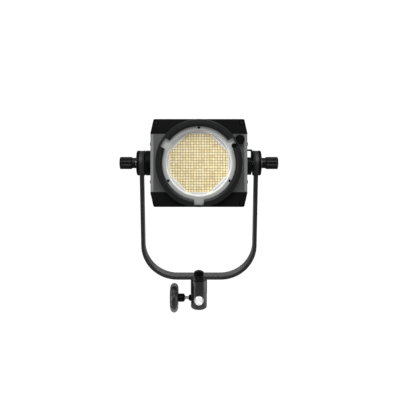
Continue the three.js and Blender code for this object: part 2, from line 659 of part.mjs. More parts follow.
function rearCover() {
  const { front, face, edge } = REAR;
  const rim = prism(headOutline(), front, face - edge, 'y');
  const step = prism(headOutline(edge), front, face, 'y');
  const through = [SWITCH, INLET, PORT].map((piece) => window(piece, front - PAST, face + PAST));
  const buttonHoles = BUTTON.xs.map((x) => (
    rod(BUTTON.r + GAP, front - PAST, face + PAST, 'y', [x, BUTTON.z])));
  const dialHole = rod(DIAL.shaftR + GAP, front - PAST, face + PAST, 'y', [DIAL.x, DIAL.z]);
  const displayRecess = window(DISPLAY, face - 2, face + PAST);
  return cut(joined([rim, step]), [displayRecess, dialHole, ...buttonHoles, ...through]);
}

function displayWindow() {
  const { x, z, thick } = DISPLAY;
  const face = REAR.face - GAP;
  return box(x[0] + GAP, x[1] - GAP, face - thick, face, z[0] + GAP, z[1] - GAP);
}

function dimmerKnob() {
  const { x, z, r, shaftR, long, flutes } = DIAL;
  const near = REAR.face + 0.5;
  const far = near + long;
  const body = turned([[0, near], [r, near], [r, far - 1.5], [r - 1.2, far], [0, far]], 24);
  const hollows = Array.from({ length: flutes }, (_, i) => {
    const at = polar(r + 1, (i * 360) / flutes);
    return rod(1.7, near - PAST, far + PAST, 'y', at, 6);
  });
  const shaft = rod(shaftR, REAR.front - 6, near + 1, 'y', [0, 0], 16);
  return cut(body, hollows).add(shaft).translate([x, 0, z]);
}

// A cap that shows through the cover, with a flange behind the cover that keeps it in.
function pushButton(x) {
  const { z, r, proud } = BUTTON;
  const cap = rod(r, REAR.front + 1, REAR.face + proud, 'y', [x, z], 14);
  const neck = rod(r - 1, REAR.front - 2, REAR.front + 2, 'y', [x, z], 12);
  const flange = rod(r + 1.4, REAR.front - 2.2, REAR.front - 0.9, 'y', [x, z], 14);
  return joined([cap, neck, flange]);
}

// Rocker of the mains switch, hinged on its own cross axis: a shallow V seen from the side.
function powerSwitch() {
  const { x, z, side, end } = SWITCH;
  const middle = (z[0] + z[1]) / 2;
  const half = (z[1] - z[0]) / 2 - end;
  const profile = polygon([
    [REAR.front, middle - half + 1.5], [REAR.front, middle + half - 1.5], [REAR.face + 2.4, middle + half],
    [REAR.face + 0.6, middle], [REAR.face + 0.2, middle - half],
  ]);
  return prism(profile, x[0] + side, x[1] - side, 'x');
}

// A box in its window of the rear cover, open to the back.
function socketBody({ x, z, depth }, pins) {
  const shellPiece = box(x[0] + GAP, x[1] - GAP, REAR.face - depth, REAR.face - GAP, z[0] + GAP, z[1] - GAP);
  const cavity = box(
    x[0] + SOCKET_WALL, x[1] - SOCKET_WALL, REAR.face - depth + 2, REAR.face + PAST,
    z[0] + SOCKET_WALL, z[1] - SOCKET_WALL,
  );
  return joined([cut(shellPiece, [cavity]), ...pins]);
}

function powerInlet() {
  const middle = (INLET.z[0] + INLET.z[1]) / 2;
  const root = REAR.face - INLET.depth + 1;
  const blades = [[-7, -2], [0, 3], [7, -2]].map(([x, z]) => (
    box(x - 1, x + 1, root, root + 6, middle + z - 2, middle + z + 2)));
  return socketBody(INLET, blades);
}

place(head, 'rear_cover', rearCover(), CHARCOAL);
place(head, 'display_window', displayWindow(), SCREEN);
place(head, 'dimmer_knob', dimmerKnob(), RUBBER);
BUTTON.xs.forEach((x, i) => place(head, `button_${i + 1}`, pushButton(x), RUBBER));
place(head, 'power_switch', powerSwitch(), RUBBER);
place(head, 'power_inlet', powerInlet(), BLACK);
place(head, 'control_port', socketBody(PORT, []), BLACK);

export default group;
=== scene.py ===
import json
import math
import random

import bmesh
import bpy
from mathutils import Matrix, Vector


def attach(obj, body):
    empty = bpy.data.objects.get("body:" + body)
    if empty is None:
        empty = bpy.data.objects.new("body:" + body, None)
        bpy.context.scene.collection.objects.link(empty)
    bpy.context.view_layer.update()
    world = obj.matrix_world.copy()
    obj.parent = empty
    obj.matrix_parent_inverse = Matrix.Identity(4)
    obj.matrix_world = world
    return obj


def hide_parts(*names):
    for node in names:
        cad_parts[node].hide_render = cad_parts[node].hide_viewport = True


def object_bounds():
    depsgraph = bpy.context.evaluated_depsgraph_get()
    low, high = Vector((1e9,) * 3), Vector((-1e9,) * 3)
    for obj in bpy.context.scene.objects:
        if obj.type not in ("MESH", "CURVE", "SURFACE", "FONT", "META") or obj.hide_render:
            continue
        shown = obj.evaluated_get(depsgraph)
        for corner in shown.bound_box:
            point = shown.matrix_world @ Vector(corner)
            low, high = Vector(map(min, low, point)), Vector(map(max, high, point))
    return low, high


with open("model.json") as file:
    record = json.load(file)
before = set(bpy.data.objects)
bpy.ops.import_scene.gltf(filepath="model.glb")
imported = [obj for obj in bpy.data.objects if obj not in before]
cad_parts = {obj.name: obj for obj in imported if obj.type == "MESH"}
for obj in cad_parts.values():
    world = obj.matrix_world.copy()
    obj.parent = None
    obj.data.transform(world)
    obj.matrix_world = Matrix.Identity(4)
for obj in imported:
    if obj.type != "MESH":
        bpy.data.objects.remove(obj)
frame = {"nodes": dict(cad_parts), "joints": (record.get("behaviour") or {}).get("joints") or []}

CAD_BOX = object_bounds()
SCENE = bpy.context.scene
MM = 0.001

# ---- the frame, in millimetres ----
# Head pieces are built in the head's own axes: the pivot at the origin and the light facing -Y.
JOINTS = {j["name"]: j for j in frame["joints"]}
PIVOT = Vector(JOINTS["tilt"]["pos_m"])
BACK = Vector(JOINTS["mount_release"]["axis"])
TILT = math.atan2(BACK.z, BACK.y)
HEAD = Matrix.Translation(PIVOT) @ Matrix.Rotation(TILT, 4, "X")
WORLD = Matrix.Identity(4)
PIVOT_Z = PIVOT.z / MM


class Span:
    """A node's lowest and highest corner in millimetres, along the axes of a given frame."""

    def __init__(self, node, place=WORLD):
        back = place.inverted()
        points = [back @ v.co for v in frame["nodes"][node].data.vertices]
        self.low = Vector([min(p[i] for p in points) for i in range(3)]) / MM
        self.high = Vector([max(p[i] for p in points) for i in range(3)]) / MM
        self.middle = (self.low + self.high) / 2
        self.size = self.high - self.low


# ---- mesh tools, in millimetres ----
# GAP is the play between neighbours; OVERCUT is how far a cutter reaches past the faces that it opens.
GAP = 0.3
OVERCUT = 1
ON_AXIS = 1e-6
FINE_STEPS = 96
KNURL_STEPS = 192
AXES = {
    "x": (Vector((0, 1, 0)), Vector((0, 0, 1)), Vector((1, 0, 0))),
    "y": (Vector((1, 0, 0)), Vector((0, 0, 1)), Vector((0, 1, 0))),
    "z": (Vector((1, 0, 0)), Vector((0, 1, 0)), Vector((0, 0, 1))),
}


def at(axis, across, up, along):
    """The point at the given distances across, up and along an axis."""
    u, v, w = AXES[axis]
    return u * across + v * up + w * along


def rounded(points, radius, steps=4, closed=True):
    """The polyline with each corner replaced by an arc-like curve; radius is one value or one per corner.

    A curve takes at most the given share of the sides that meet in its corner.
    """
    radii = radius if hasattr(radius, "__len__") else [radius] * len(points)
    out = []
    count = len(points)
    share = 0.49
    for i, (point, r) in enumerate(zip(points, radii)):
        here = Vector(point)
        if r <= 0 or (not closed and i in (0, count - 1)):
            out.append(here)
            continue
        before = Vector(points[i - 1]) - here
        after = Vector(points[(i + 1) % count]) - here
        half_angle = before.angle(after) / 2
        reach = min(r / math.tan(half_angle), before.length * share, after.length * share)
        start = here + before.normalized() * reach
        end = here + after.normalized() * reach
        for k in range(steps + 1):
            t = k / steps
            out.append(start.lerp(here, t).lerp(here.lerp(end, t), t))
    return out


def circle(r, across=0.0, up=0.0, steps=64):
    turn = 2 * math.pi / steps
    return [(across + r * math.cos(i * turn), up + r * math.sin(i * turn)) for i in range(steps)]


def hexagon(r, across=0.0, up=0.0):
    return circle(r, across, up, 6)


def arc(centre, r, start, end, steps=20):
    """Points on part of a circle; start and end are in degrees."""
    turn = (end - start) / steps
    angles = [math.radians(start + i * turn) for i in range(steps + 1)]
    return [(centre[0] + r * math.cos(a), centre[1] + r * math.sin(a)) for a in angles]


def rectangle(low_across, low_up, high_across, high_up, corner=0.0, steps=4):
    corners = [(low_across, low_up), (high_across, low_up), (high_across, high_up), (low_across, high_up)]
    return rounded(corners, corner, steps)


def band(inner, outer, low, high):
    """The section of a ring, or of a disc where inner is 0, as corners of (radius, height)."""
    return [(inner, low), (outer, low), (outer, high), (inner, high)]


def facing(side, profile):
    """The profile with its heights turned towards side, which is 1 or -1."""
    return [(r, side * h) for r, h in profile]


def prism(outline, low, high, axis):
    """A flat outline pushed along an axis."""
    bm = bmesh.new()
    rings = [[bm.verts.new(at(axis, p[0], p[1], end)) for p in outline] for end in (low, high)]
    count = len(outline)
    bm.faces.new(rings[0])
    bm.faces.new(reversed(rings[1]))
    for i in range(count):
        j = (i + 1) % count
        bm.faces.new((rings[0][i], rings[0][j], rings[1][j], rings[1][i]))
    bmesh.ops.recalc_face_normals(bm, faces=bm.faces)
    return bm


def through(outline, low, high, axis):
    """A cutter that opens everything between low and high."""
    return prism(outline, low - OVERCUT, high + OVERCUT, axis)


def lathe(profile, axis, across=0.0, up=0.0, steps=FINE_STEPS, shape=None):
    """A profile of (radius, height) points turned about an axis; shape(angle, r, h) may change a radius."""
    bm = bmesh.new()
    rings = []
    for r, h in profile:
        if r < ON_AXIS:
            rings.append([bm.verts.new(at(axis, across, up, h))])
            continue
        ring = []
        for i in range(steps):
            angle = 2 * math.pi * i / steps
            reach = shape(angle, r, h) if shape else r
            point = (across + reach * math.cos(angle), up + reach * math.sin(angle))
            ring.append(bm.verts.new(at(axis, *point, h)))
        rings.append(ring)
    on_axis = len(rings[0]) == 1 and len(rings[-1]) == 1
    pairs = list(zip(rings, rings[1:])) + ([] if on_axis else [(rings[-1], rings[0])])
    for lower, upper in pairs:
        for i in range(steps):
            j = (i + 1) % steps
            below = [lower[i % len(lower)], lower[j % len(lower)]]
            above = [upper[j % len(upper)], upper[i % len(upper)]]
            corners = list(dict.fromkeys(below + above))
            if len(corners) > 2:
                bm.faces.new(corners)
    bmesh.ops.recalc_face_normals(bm, faces=bm.faces)
    return bm


def as_object(bm, name):
    mesh = bpy.data.meshes.new(name)
    bm.to_mesh(mesh)
    bm.free()
    obj = bpy.data.objects.new(name, mesh)
    SCENE.collection.objects.link(obj)
    return obj


def applied(obj):
    """Replaces the mesh by what the modifiers make of it."""
    bpy.context.view_layer.update()
    graph = bpy.context.evaluated_depsgraph_get()
    mesh = bpy.data.meshes.new_from_object(obj.evaluated_get(graph))
    obj.modifiers.clear()
    obj.data = mesh


def boolean(obj, cutters, operation="DIFFERENCE"):
    """Cuts each of the cutters out of the object, or joins them to it with UNION."""
    for bm in cutters:
        tool = as_object(bm, "tool")
        modifier = obj.modifiers.new("cut", "BOOLEAN")
        modifier.object = tool
        modifier.operation = operation
        modifier.solver = "EXACT"
        applied(obj)
        bpy.data.objects.remove(tool)


def bevel_edges(obj, width, sharp):
    modifier = obj.modifiers.new("edges", "BEVEL")
    modifier.width = width
    modifier.segments = 2
    modifier.limit_method = "ANGLE"
    modifier.angle_limit = math.radians(sharp)
    modifier.use_clamp_overlap = True
    applied(obj)


def weigh_normals(obj):
    """Lets the wide faces set the shading where small bevels meet them."""
    modifier = obj.modifiers.new("normals", "WEIGHTED_NORMAL")
    modifier.keep_sharp = True
    modifier.weight = 100
    applied(obj)


def piece(name, bm, material, body, nodes=(), place=WORLD, cut=(), join=(), bevel=0.3, sharp=35, slot=None):
    """One finished visible piece: joined and cut, bevelled, smooth-shaded, placed and riding on its body.

    Edges sharper than `sharp` degrees are bevelled and stay sharp in the shading.
    """
    obj = as_object(bm, name)
    boolean(obj, join, "UNION")
    boolean(obj, cut)
    if bevel:
        bevel_edges(obj, bevel, sharp)
    obj.data.transform(place @ Matrix.Scale(MM, 4))
    obj.data.shade_smooth()
    obj.data.set_sharp_from_angle(angle=math.radians(sharp))
    if bevel:
        weigh_normals(obj)
    obj.name = name
    obj.data.name = name
    obj.data.materials.clear()
    obj.data.materials.append(material)
    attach(obj, body)
    if nodes:
        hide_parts(*nodes)
    return obj


def head_piece(name, bm, material, nodes=(), **options):
    """A piece made in the head's axes that rides on the head."""
    piece(name, bm, material, "head", nodes, HEAD, **options)


# ---- materials ----
def fill(tree, node, inputs):
    """Sets a node's inputs by name, or links those that are given as another node's output."""
    for name, value in inputs.items():
        if isinstance(value, bpy.types.NodeSocket):
            tree.links.new(value, node.inputs[name])
        else:
            node.inputs[name].default_value = value


class Finish:
    """A procedural material: one principled shader and the nodes that vary it."""

    def __init__(self, name, color, roughness, metallic=0.0, specular=0.5):
        self.material = bpy.data.materials.new(name)
        self.material.use_nodes = True
        self.tree = self.material.node_tree
        self.shader = self.tree.nodes["Principled BSDF"]
        self.color = color
        self.roughness = roughness
        self.place = self.node("TexCoord").outputs["Object"]
        self.shade({"Base Color": (*color, 1), "Roughness": roughness, "Metallic": metallic,
                    "Specular IOR Level": specular})

    def node(self, kind, inputs=None, **settings):
        made = self.tree.nodes.new("ShaderNode" + kind)
        for key, value in settings.items():
            setattr(made, key, value)
        fill(self.tree, made, inputs or {})
        return made

    def shade(self, inputs):
        fill(self.tree, self.shader, inputs)

    def noise(self, scale, detail=3.0, stretch=(1, 1, 1)):
        mapping = self.node("Mapping", {"Vector": self.place, "Scale": stretch})
        noise = self.node("TexNoise", {"Vector": mapping.outputs["Vector"], "Scale": scale, "Detail": detail})
        return noise.outputs["Fac"]

    def spread(self, source, low, high, from_low=0.3, from_high=0.7):
        """Maps a source between from_low and from_high to low and high."""
        limits = self.node("MapRange", {"Value": source, "From Min": from_low, "From Max": from_high,
                                        "To Min": low, "To Max": high})
        return limits.outputs["Result"]

    def vary_roughness(self, source, amount):
        self.shade({"Roughness": self.spread(source, self.roughness - amount, self.roughness + amount)})

    def vary_color(self, source, darker, lighter):
        """Moves the base colour between two multiples of itself and returns the result."""
        ramp = self.node("ValToRGB", {"Fac": source})
        for element, position, factor in zip(ramp.color_ramp.elements, (0.3, 0.7), (darker, lighter)):
            element.position = position
            element.color = (*[min(1, c * factor) for c in self.color], 1)
        self.shade({"Base Color": ramp.outputs["Color"]})
        return ramp.outputs["Color"]

    def painted_edge_highlight(self, base, tint, amount=0.5):
        """Lightens the outer edges towards a tint: a painted highlight along them."""
        geometry = self.node("NewGeometry")
        # The edges that Pointiness finds take the tint as a painted highlight.
        edge = self.spread(geometry.outputs["Pointiness"], 0, amount, 0.53, 0.60)
        mix = self.node("Mix", {"Factor": edge, "A": base, "B": (*tint, 1)}, data_type="RGBA")
        self.shade({"Base Color": mix.outputs["Result"]})

    def bump(self, source, strength, distance):
        bump = self.node("Bump", {"Height": source, "Strength": strength, "Distance": distance})
        self.shade({"Normal": bump.outputs["Normal"]})


def powder_coat(name, color, roughness, specular, grain=0.35):
    """Painted metal: a fine orange-peel bump, faint mottling and a painted highlight on the edges."""
    finish = Finish(name, color, roughness, 0.0, specular)
    base = finish.vary_color(finish.noise(220), 0.94, 1.06)
    # The outer edges get a painted highlight: a lighter mix of the paint's colour.
    finish.painted_edge_highlight(base, [min(1, c * 2.2 + 0.01) for c in color])
    finish.vary_roughness(finish.noise(500, 2), 0.04)
    finish.bump(finish.noise(1600, 2), grain, 0.0002)
    return finish.material


def moulded(name, color, roughness, specular):
    """Moulded plastic with a spark-eroded grain."""
    finish = Finish(name, color, roughness, 0.0, specular)
    base = finish.vary_color(finish.noise(300), 0.93, 1.07)
    # The outer edges get a painted highlight: a lighter mix of the plastic's colour.
    finish.painted_edge_highlight(base, [min(1, c * 1.8 + 0.01) for c in color], 0.35)
    finish.vary_roughness(finish.noise(400, 2), 0.08)
    finish.bump(finish.noise(2600, 1), 0.3, 0.00012)
    return finish.material


def bare_metal(name, color, roughness, stretch=(1, 1, 1)):
    """Bare metal with fine tool marks; stretch draws the marks out along one axis."""
    finish = Finish(name, color, roughness, 1.0)
    marks = finish.noise(900, stretch=stretch)
    finish.vary_color(finish.noise(45), 0.9, 1.08)
    finish.vary_roughness(marks, 0.09)
    finish.bump(marks, 0.12, 0.00006)
    return finish.material


def turned_metal(name, color, roughness, axis_point):
    """Metal faced on a lathe: fine rings round the light's axis."""
    finish = Finish(name, color, roughness, 1.0)
    mapping = finish.node("Mapping", {"Vector": finish.place, "Location": [-c for c in axis_point]})
    distance = finish.node("VectorMath", {"Vector": mapping.outputs["Vector"]}, operation="LENGTH")
    noise = finish.node("TexNoise", {"W": distance.outputs["Value"], "Scale": 2500}, noise_dimensions="1D")
    finish.vary_color(finish.noise(35), 0.92, 1.06)
    finish.vary_roughness(noise.outputs["Fac"], 0.08)
    finish.bump(noise.outputs["Fac"], 0.15, 0.00005)
    return finish.material


PHOSPHOR_TINTS = [
    (0.0, (0.78, 0.57, 0.22)),
    (0.35, (0.88, 0.73, 0.34)),
    (0.7, (0.92, 0.78, 0.40)),
    (1.0, (0.94, 0.82, 0.50)),
]


def phosphor():
    """Pale yellow chips: each island of the mesh has its own slight tint."""
    finish = Finish("phosphor", (0.86, 0.66, 0.33), 0.55, 0.0, 0.4)
    geometry = finish.node("NewGeometry")
    ramp = finish.node("ValToRGB", {"Fac": geometry.outputs["Random Per Island"]})
    while len(ramp.color_ramp.elements) < len(PHOSPHOR_TINTS):
        ramp.color_ramp.elements.new(0.5)
    for element, (position, color) in zip(ramp.color_ramp.elements, PHOSPHOR_TINTS):
        element.position = position
        element.color = (*color, 1)
    finish.shade({"Base Color": ramp.outputs["Color"]})
    finish.bump(finish.noise(3000, 1), 0.1, 0.0001)
    return finish.material


def plain(name, color, roughness, specular=0.5, mottle=0.04):
    """A smooth even surface with the faintest grain."""
    finish = Finish(name, color, roughness, 0.0, specular)
    finish.vary_color(finish.noise(70, 2), 1 - mottle, 1 + mottle)
    finish.vary_roughness(finish.noise(300, 2), 0.04)
    finish.bump(finish.noise(1800, 1), 0.1, 0.00005)
    return finish.material


def clear_glass():
    finish = Finish("clear_glass", (1, 1, 1), 0.04, 0.0, 0.5)
    finish.shade({"Alpha": 0.06})
    finish.vary_roughness(finish.noise(40, 2), 0.02)
    return finish.material


LIGHT_CENTRE = HEAD @ (Vector((0, Span("mount_base_ring", HEAD).low.y, 0)) * MM)

CHARCOAL = powder_coat("charcoal_paint", (0.013, 0.014, 0.0135), 0.4, 0.25)
CASTING_GREY = powder_coat("casting_grey", (0.005, 0.0055, 0.0052), 0.24, 0.3, 0.12)
FACE_GREY = powder_coat("face_grey", (0.046, 0.048, 0.048), 0.45, 0.3)
SHELL_BLACK = powder_coat("shell_black", (0.0022, 0.0022, 0.0023), 0.5, 0.05)
RING_BLACK = powder_coat("ring_anodised", (0.0046, 0.005, 0.0053), 0.34, 0.2)
BOSS_BLACK = moulded("boss_black", (0.0014, 0.0014, 0.0016), 0.4, 0.05)
KNOB_BLACK = moulded("knob_black", (0.0025, 0.0025, 0.0027), 0.34, 0.15)
WHEEL_BLACK = moulded("wheel_black", (0.009, 0.009, 0.0092), 0.36, 0.32)
PIN_BLACK = moulded("pin_black", (0.0012, 0.0012, 0.0014), 0.4, 0.05)
SCREW_BLACK = bare_metal("screw_black", (0.014, 0.014, 0.015), 0.4)
SILVER = turned_metal("satin_silver", (0.56, 0.58, 0.57), 0.4, LIGHT_CENTRE)
BORE_METAL = bare_metal("bore_metal", (0.9, 0.9, 0.9), 0.3)
STEEL = bare_metal("steel", (0.55, 0.56, 0.57), 0.28)
FIN_METAL = bare_metal("heatsink_metal", (0.42, 0.43, 0.44), 0.42, (1, 0.06, 1))
COPPER = bare_metal("copper", (0.55, 0.25, 0.13), 0.35)
BRASS = bare_metal("brass", (0.62, 0.45, 0.18), 0.32)
RUBBER = moulded("rubber", (0.012, 0.012, 0.012), 0.8, 0.25)
WHITE = plain("white_rim", (0.86, 0.87, 0.86), 0.4)
LILAC = plain("white_board", (0.56, 0.565, 0.61), 0.45)
GRID = plain("grid_gap", (0.30, 0.24, 0.10), 0.6)
PHOSPHOR = phosphor()
GLASS = clear_glass()
BOARD = plain("board_green", (0.02, 0.09, 0.05), 0.5, 0.5, 0.15)
SCREEN = plain("screen_black", (0.006, 0.008, 0.010), 0.08)


# ---- yoke ----
YOKE = Span("yoke")
HUB = Span("hub_cap_right")
HUB_R = HUB.size.z / 2
STUD_R = Span("tilt_stud_right").size.y / 2
HOLE_R = STUD_R + GAP
HOLE_STEPS = 32
BAR_THICK = 6.0
BAR_OUT, BAR_IN = YOKE.high.x, YOKE.high.x - BAR_THICK
BAR_CORNER = 63.0
BAR_WIDTH = 20.0
TILT_PITCH = 1.5
SIDES = {"left": -1, "right": 1}


def yoke_outline():
    turn_z = YOKE.low.z + BAR_CORNER
    small = BAR_CORNER - BAR_THICK
    left, right = (-BAR_OUT + BAR_CORNER, turn_z), (BAR_OUT - BAR_CORNER, turn_z)
    outer = arc(left, BAR_CORNER, 180, 270) + arc(right, BAR_CORNER, 270, 360)
    inner = arc(right, small, 360, 270) + arc(left, small, 270, 180)
    return [(-BAR_OUT, PIVOT_Z), *outer, (BAR_OUT, PIVOT_Z), (BAR_IN, PIVOT_Z), *inner, (-BAR_IN, PIVOT_Z)]


def make_yoke():
    """A flat bar bent to a U, with a round eye at each end and a hole at the bottom for the bolt."""
    eye = circle(YOKE.high.z - PIVOT_Z, 0, PIVOT_Z, FINE_STEPS)
    eyes = [prism(eye, *sorted((side * BAR_IN, side * BAR_OUT)), "x") for side in SIDES.values()]
    holes = [
        through(circle(HOLE_R, 0, PIVOT_Z, HOLE_STEPS), -BAR_OUT, BAR_OUT, "x"),
        through(circle(HOLE_R, steps=HOLE_STEPS), YOKE.low.z, YOKE.low.z + BAR_THICK, "z"),
    ]
    bar = prism(yoke_outline(), -BAR_WIDTH / 2, BAR_WIDTH / 2, "y")
    piece("yoke_bar", bar, CHARCOAL, "yoke", ["yoke"], cut=holes, join=eyes, bevel=0.5, sharp=30)


def make_hub(word, side):
    """The round cap outside one end of the bar, with a groove in its face."""
    low, high = HUB.low.x, HUB.high.x
    floor = high - 0.8
    groove_out, floor_out, floor_in, groove_in = HUB_R - 3.5, HUB_R - 4.2, 13, 12.4
    cap = rounded([
        (HOLE_R, low), (HUB_R, low), (HUB_R, high), (groove_out, high), (floor_out, floor), (floor_in, floor),
        (groove_in, high), (HOLE_R, high),
    ], [0.2, 0.3, 2.0, 0.3, 0.3, 0.3, 0.4, 0.4])
    hub = lathe(facing(side, cap), "x", 0, PIVOT_Z)
    piece(f"hub_{word}", hub, BOSS_BLACK, "yoke", [f"hub_cap_{word}"], bevel=0)


def make_friction_disc(word, side):
    span = Span("friction_disc_right")
    section = rounded(band(HOLE_R, HUB_R, span.low.x, span.high.x), 0.4)
    disc = lathe(facing(side, section), "x", 0, PIVOT_Z)
    piece(f"friction_{word}", disc, RUBBER, "yoke", [f"friction_disc_{word}"], bevel=0)


def knurl(count, depth, sharpness, r_from):
    """Flutes round a knob: count of them, cut to depth where the profile is beyond r_from."""

    def shape(angle, r, h):
        wave = 0.5 + 0.5 * math.cos(count * angle)
        return r - (depth * wave ** sharpness if r > r_from else 0)

    return shape


def make_tilt_knob(word, side):
    """A fluted knob on a plain neck, dished at its end and bored for its stud."""
    span = Span("tilt_knob_right")
    low, high, r = span.low.x, span.high.x, span.size.z / 2
    neck_r, neck_end, bore_end, taper = 9.0, low + 6, low + 12, 1.2
    dish_out, dish_in, dish_floor = 7.4, 7.0, high - 0.9
    body = rounded([
        (HOLE_R, low), (neck_r, low), (neck_r, neck_end), (r, neck_end + taper), (r, high), (dish_out, high),
        (dish_in, dish_floor), (0, dish_floor),
    ], [0, 0.6, 0.5, 1.2, 1.8, 0.3, 0.3, 0], closed=False)
    profile = [(0, bore_end), (HOLE_R, bore_end), *body]
    flutes = knurl(count=8, depth=2.0, sharpness=2.2, r_from=neck_r + 0.6)
    knob = lathe(facing(side, profile), "x", 0, PIVOT_Z, KNURL_STEPS, flutes)
    node = f"tilt_knob_{word}"
    piece(f"tilt_grip_{word}", knob, KNOB_BLACK, node, [node], bevel=0, sharp=40)
    threaded(f"tilt_thread_{word}", f"tilt_stud_{word}", node, PIVOT_Z, STUD_R, TILT_PITCH)


def make_tilt_washer(word):
    node = f"tilt_washer_{word}"
    washer = Span(node)
    washer_r = 8.6
    section = rounded(band(HOLE_R, washer_r, washer.low.x, washer.high.x), 0.3)
    piece(f"washer_{word}", lathe(section, "x", 0, PIVOT_Z), STEEL, node, [node], bevel=0)


def threaded(name, node, body, z, r, pitch):
    """A screw along X at height z, with a real helical thread and chamfered ends."""
    low, high = Span(node).low.x, Span(node).high.x
    rows_per_pitch, steps, depth = 6, 36, 0.6
    chamfer_length, chamfer_slope = 1, 0.5
    rows = int((high - low) / pitch * rows_per_pitch)
    profile = [(0, low)] + [(r, low + (high - low) * i / rows) for i in range(rows + 1)] + [(0, high)]

    def shape(angle, radius, h):
        turn = ((h - low) / pitch + angle / (2 * math.pi)) % 1
        ridge = abs(2 * turn - 1)
        end = min(h - low, high - h)
        return radius - depth * ridge - max(0, chamfer_length - end) * chamfer_slope

    piece(name, lathe(profile, "x", 0, z, steps, shape), STEEL, body, [node], bevel=0, sharp=80)


# ---- spigot receiver ----
RECEIVER = Span("stand_adapter")
RECEIVER_R = RECEIVER.size.x / 2
BORE_R, BORE_TOP = 8.3, 38.0
CROSS_R, CROSS_Z = 8.5, 18.0
CLAMP_SCREW = Span("clamp_screw")
CLAMP_SCREW_R = CLAMP_SCREW.size.z / 2
CLAMP_HOLE_R = CLAMP_SCREW_R + GAP
CLAMP_Z = CLAMP_SCREW.middle.z
CLAMP_PITCH = 1.0


def make_receiver():
    """A cylinder with a bore from below for the spigot and a cross bore from front to back."""
    r, top = RECEIVER_R, RECEIVER.high.z
    profile = rounded([(BORE_R, 0), (r, 0), (r, top), (HOLE_R, top), (HOLE_R, BORE_TOP), (BORE_R, BORE_TOP)],
                      [0.9, 1.8, 0.4, 0.3, 0, 0])
    cross = through(circle(CROSS_R, 0, CROSS_Z), -r, r, "y")
    screw_hole = prism(circle(CLAMP_HOLE_R, 0, CLAMP_Z, HOLE_STEPS), -r - OVERCUT, 0, "x")
    body = piece("receiver", lathe(profile, "z"), CASTING_GREY, "yoke", ["stand_adapter"],
                 cut=[cross, screw_hole], bevel=0.5, sharp=40)
    bare_inside(body)


def bare_inside(obj):
    """The walls of both bores are bare bright metal, where the paint stops."""
    obj.data.materials.append(BORE_METAL)
    bore_reach, cross_reach = BORE_R + 0.3, CROSS_R + 0.2
    vertices = obj.data.vertices
    for face in obj.data.polygons:
        points = [vertices[i].co / MM for i in face.vertices]
        in_bore = all(math.hypot(p.x, p.y) < bore_reach for p in points)
        in_cross = all(math.hypot(p.x, p.z - CROSS_Z) < cross_reach for p in points)
        if in_bore or in_cross:
            face.material_index = 1


def make_saddle():
    """A shallow collar on the receiver, with a channel that the bar lies in."""
    saddle = Span("yoke_saddle")
    profile = rounded(band(HOLE_R, RECEIVER_R, saddle.low.z, saddle.high.z), [0, 0.4, 1.0, 0])
    half_width, half_length = BAR_WIDTH / 2 + GAP, 20
    section = rectangle(-half_width, YOKE.low.z - GAP, half_width, saddle.high.z + 2 * OVERCUT)
    channel = prism(section, -half_length, half_length, "x")
    piece("saddle", lathe(profile, "z"), KNOB_BLACK, "yoke", ["yoke_saddle"], cut=[channel], bevel=0.4)


def make_bolt():
    """The bolt that holds the bar: a round head with a low dome and a hexagon socket."""
    bolt = Span("yoke_bolt")
    r, low, top = bolt.size.x / 2, bolt.low.z, bolt.high.z
    seat, shoulder, dome = YOKE.low.z + BAR_THICK + GAP, top - 2.2, top - 0.5
    dome_r, end_r, socket_r, socket_depth = r - 2.8, 4, 3.5, 2.5
    profile = rounded([
        (0, low), (end_r, low), (STUD_R, low + 1), (STUD_R, seat), (r, seat), (r, shoulder), (dome_r, dome),
        (0, top),
    ], [0, 0.3, 0.3, 0, 0.5, 2, 3, 0], 6, closed=False)
    socket = prism(hexagon(socket_r), top - socket_depth, top + OVERCUT, "z")
    piece("bolt", lathe(profile, "z"), BOSS_BLACK, "yoke", ["yoke_bolt"], cut=[socket], bevel=0.25, sharp=30)


def make_clamp_boss():
    """A short cone on the receiver's side, round the clamp screw."""
    boss = Span("clamp_boss")
    r, tip, root = boss.size.z / 2, boss.low.x, boss.high.x + OVERCUT
    cone = rounded([(CLAMP_HOLE_R, tip), (r - 2, tip), (r, -RECEIVER_R), (r, root), (CLAMP_HOLE_R, root)],
                   [0.3, 0.8, 1.2, 0, 0])
    seat_low, seat_high = -5, 40
    seat = lathe(band(0, RECEIVER_R + GAP, seat_low, seat_high), "z")
    piece("clamp_collar", lathe(cone, "x", 0, boss.middle.z), BOSS_BLACK, "yoke", ["clamp_boss"],
          cut=[seat], bevel=0.25)


# ---- clamp wheel ----
WHEEL = Span("clamp_knob")
RIM_R = 7.3
WHEEL_BACK = WHEEL.low.x + 2 * RIM_R


def make_clamp_tip():
    pad = Span("clamp_pad")
    tip = rounded(band(0, pad.size.z / 2, pad.low.x, pad.high.x), [0, 0.3, 0.8, 0], closed=False)
    piece("clamp_tip", lathe(tip, "x", 0, CLAMP_Z, 48), BRASS, "clamp_pad", ["clamp_pad"], bevel=0)


def make_clamp_hub():
    """The neck behind the wheel, bored for the screw."""
    near = WHEEL.high.x
    hub_r, collar_r, collar, bore_end, root = 7.4, 5.4, near - 2.2, near - 10.8, WHEEL_BACK - 2
    hub = rounded([
        (0, bore_end), (CLAMP_HOLE_R, bore_end), (CLAMP_HOLE_R, near), (collar_r, near), (hub_r, collar),
        (hub_r, root), (0, root),
    ], [0, 0, 0.4, 0.6, 0.8, 0, 0], closed=False)
    piece("clamp_hub", lathe(hub, "x", 0, CLAMP_Z), BOSS_BLACK, "clamp_knob", bevel=0, sharp=40,
          slot="knob_black")


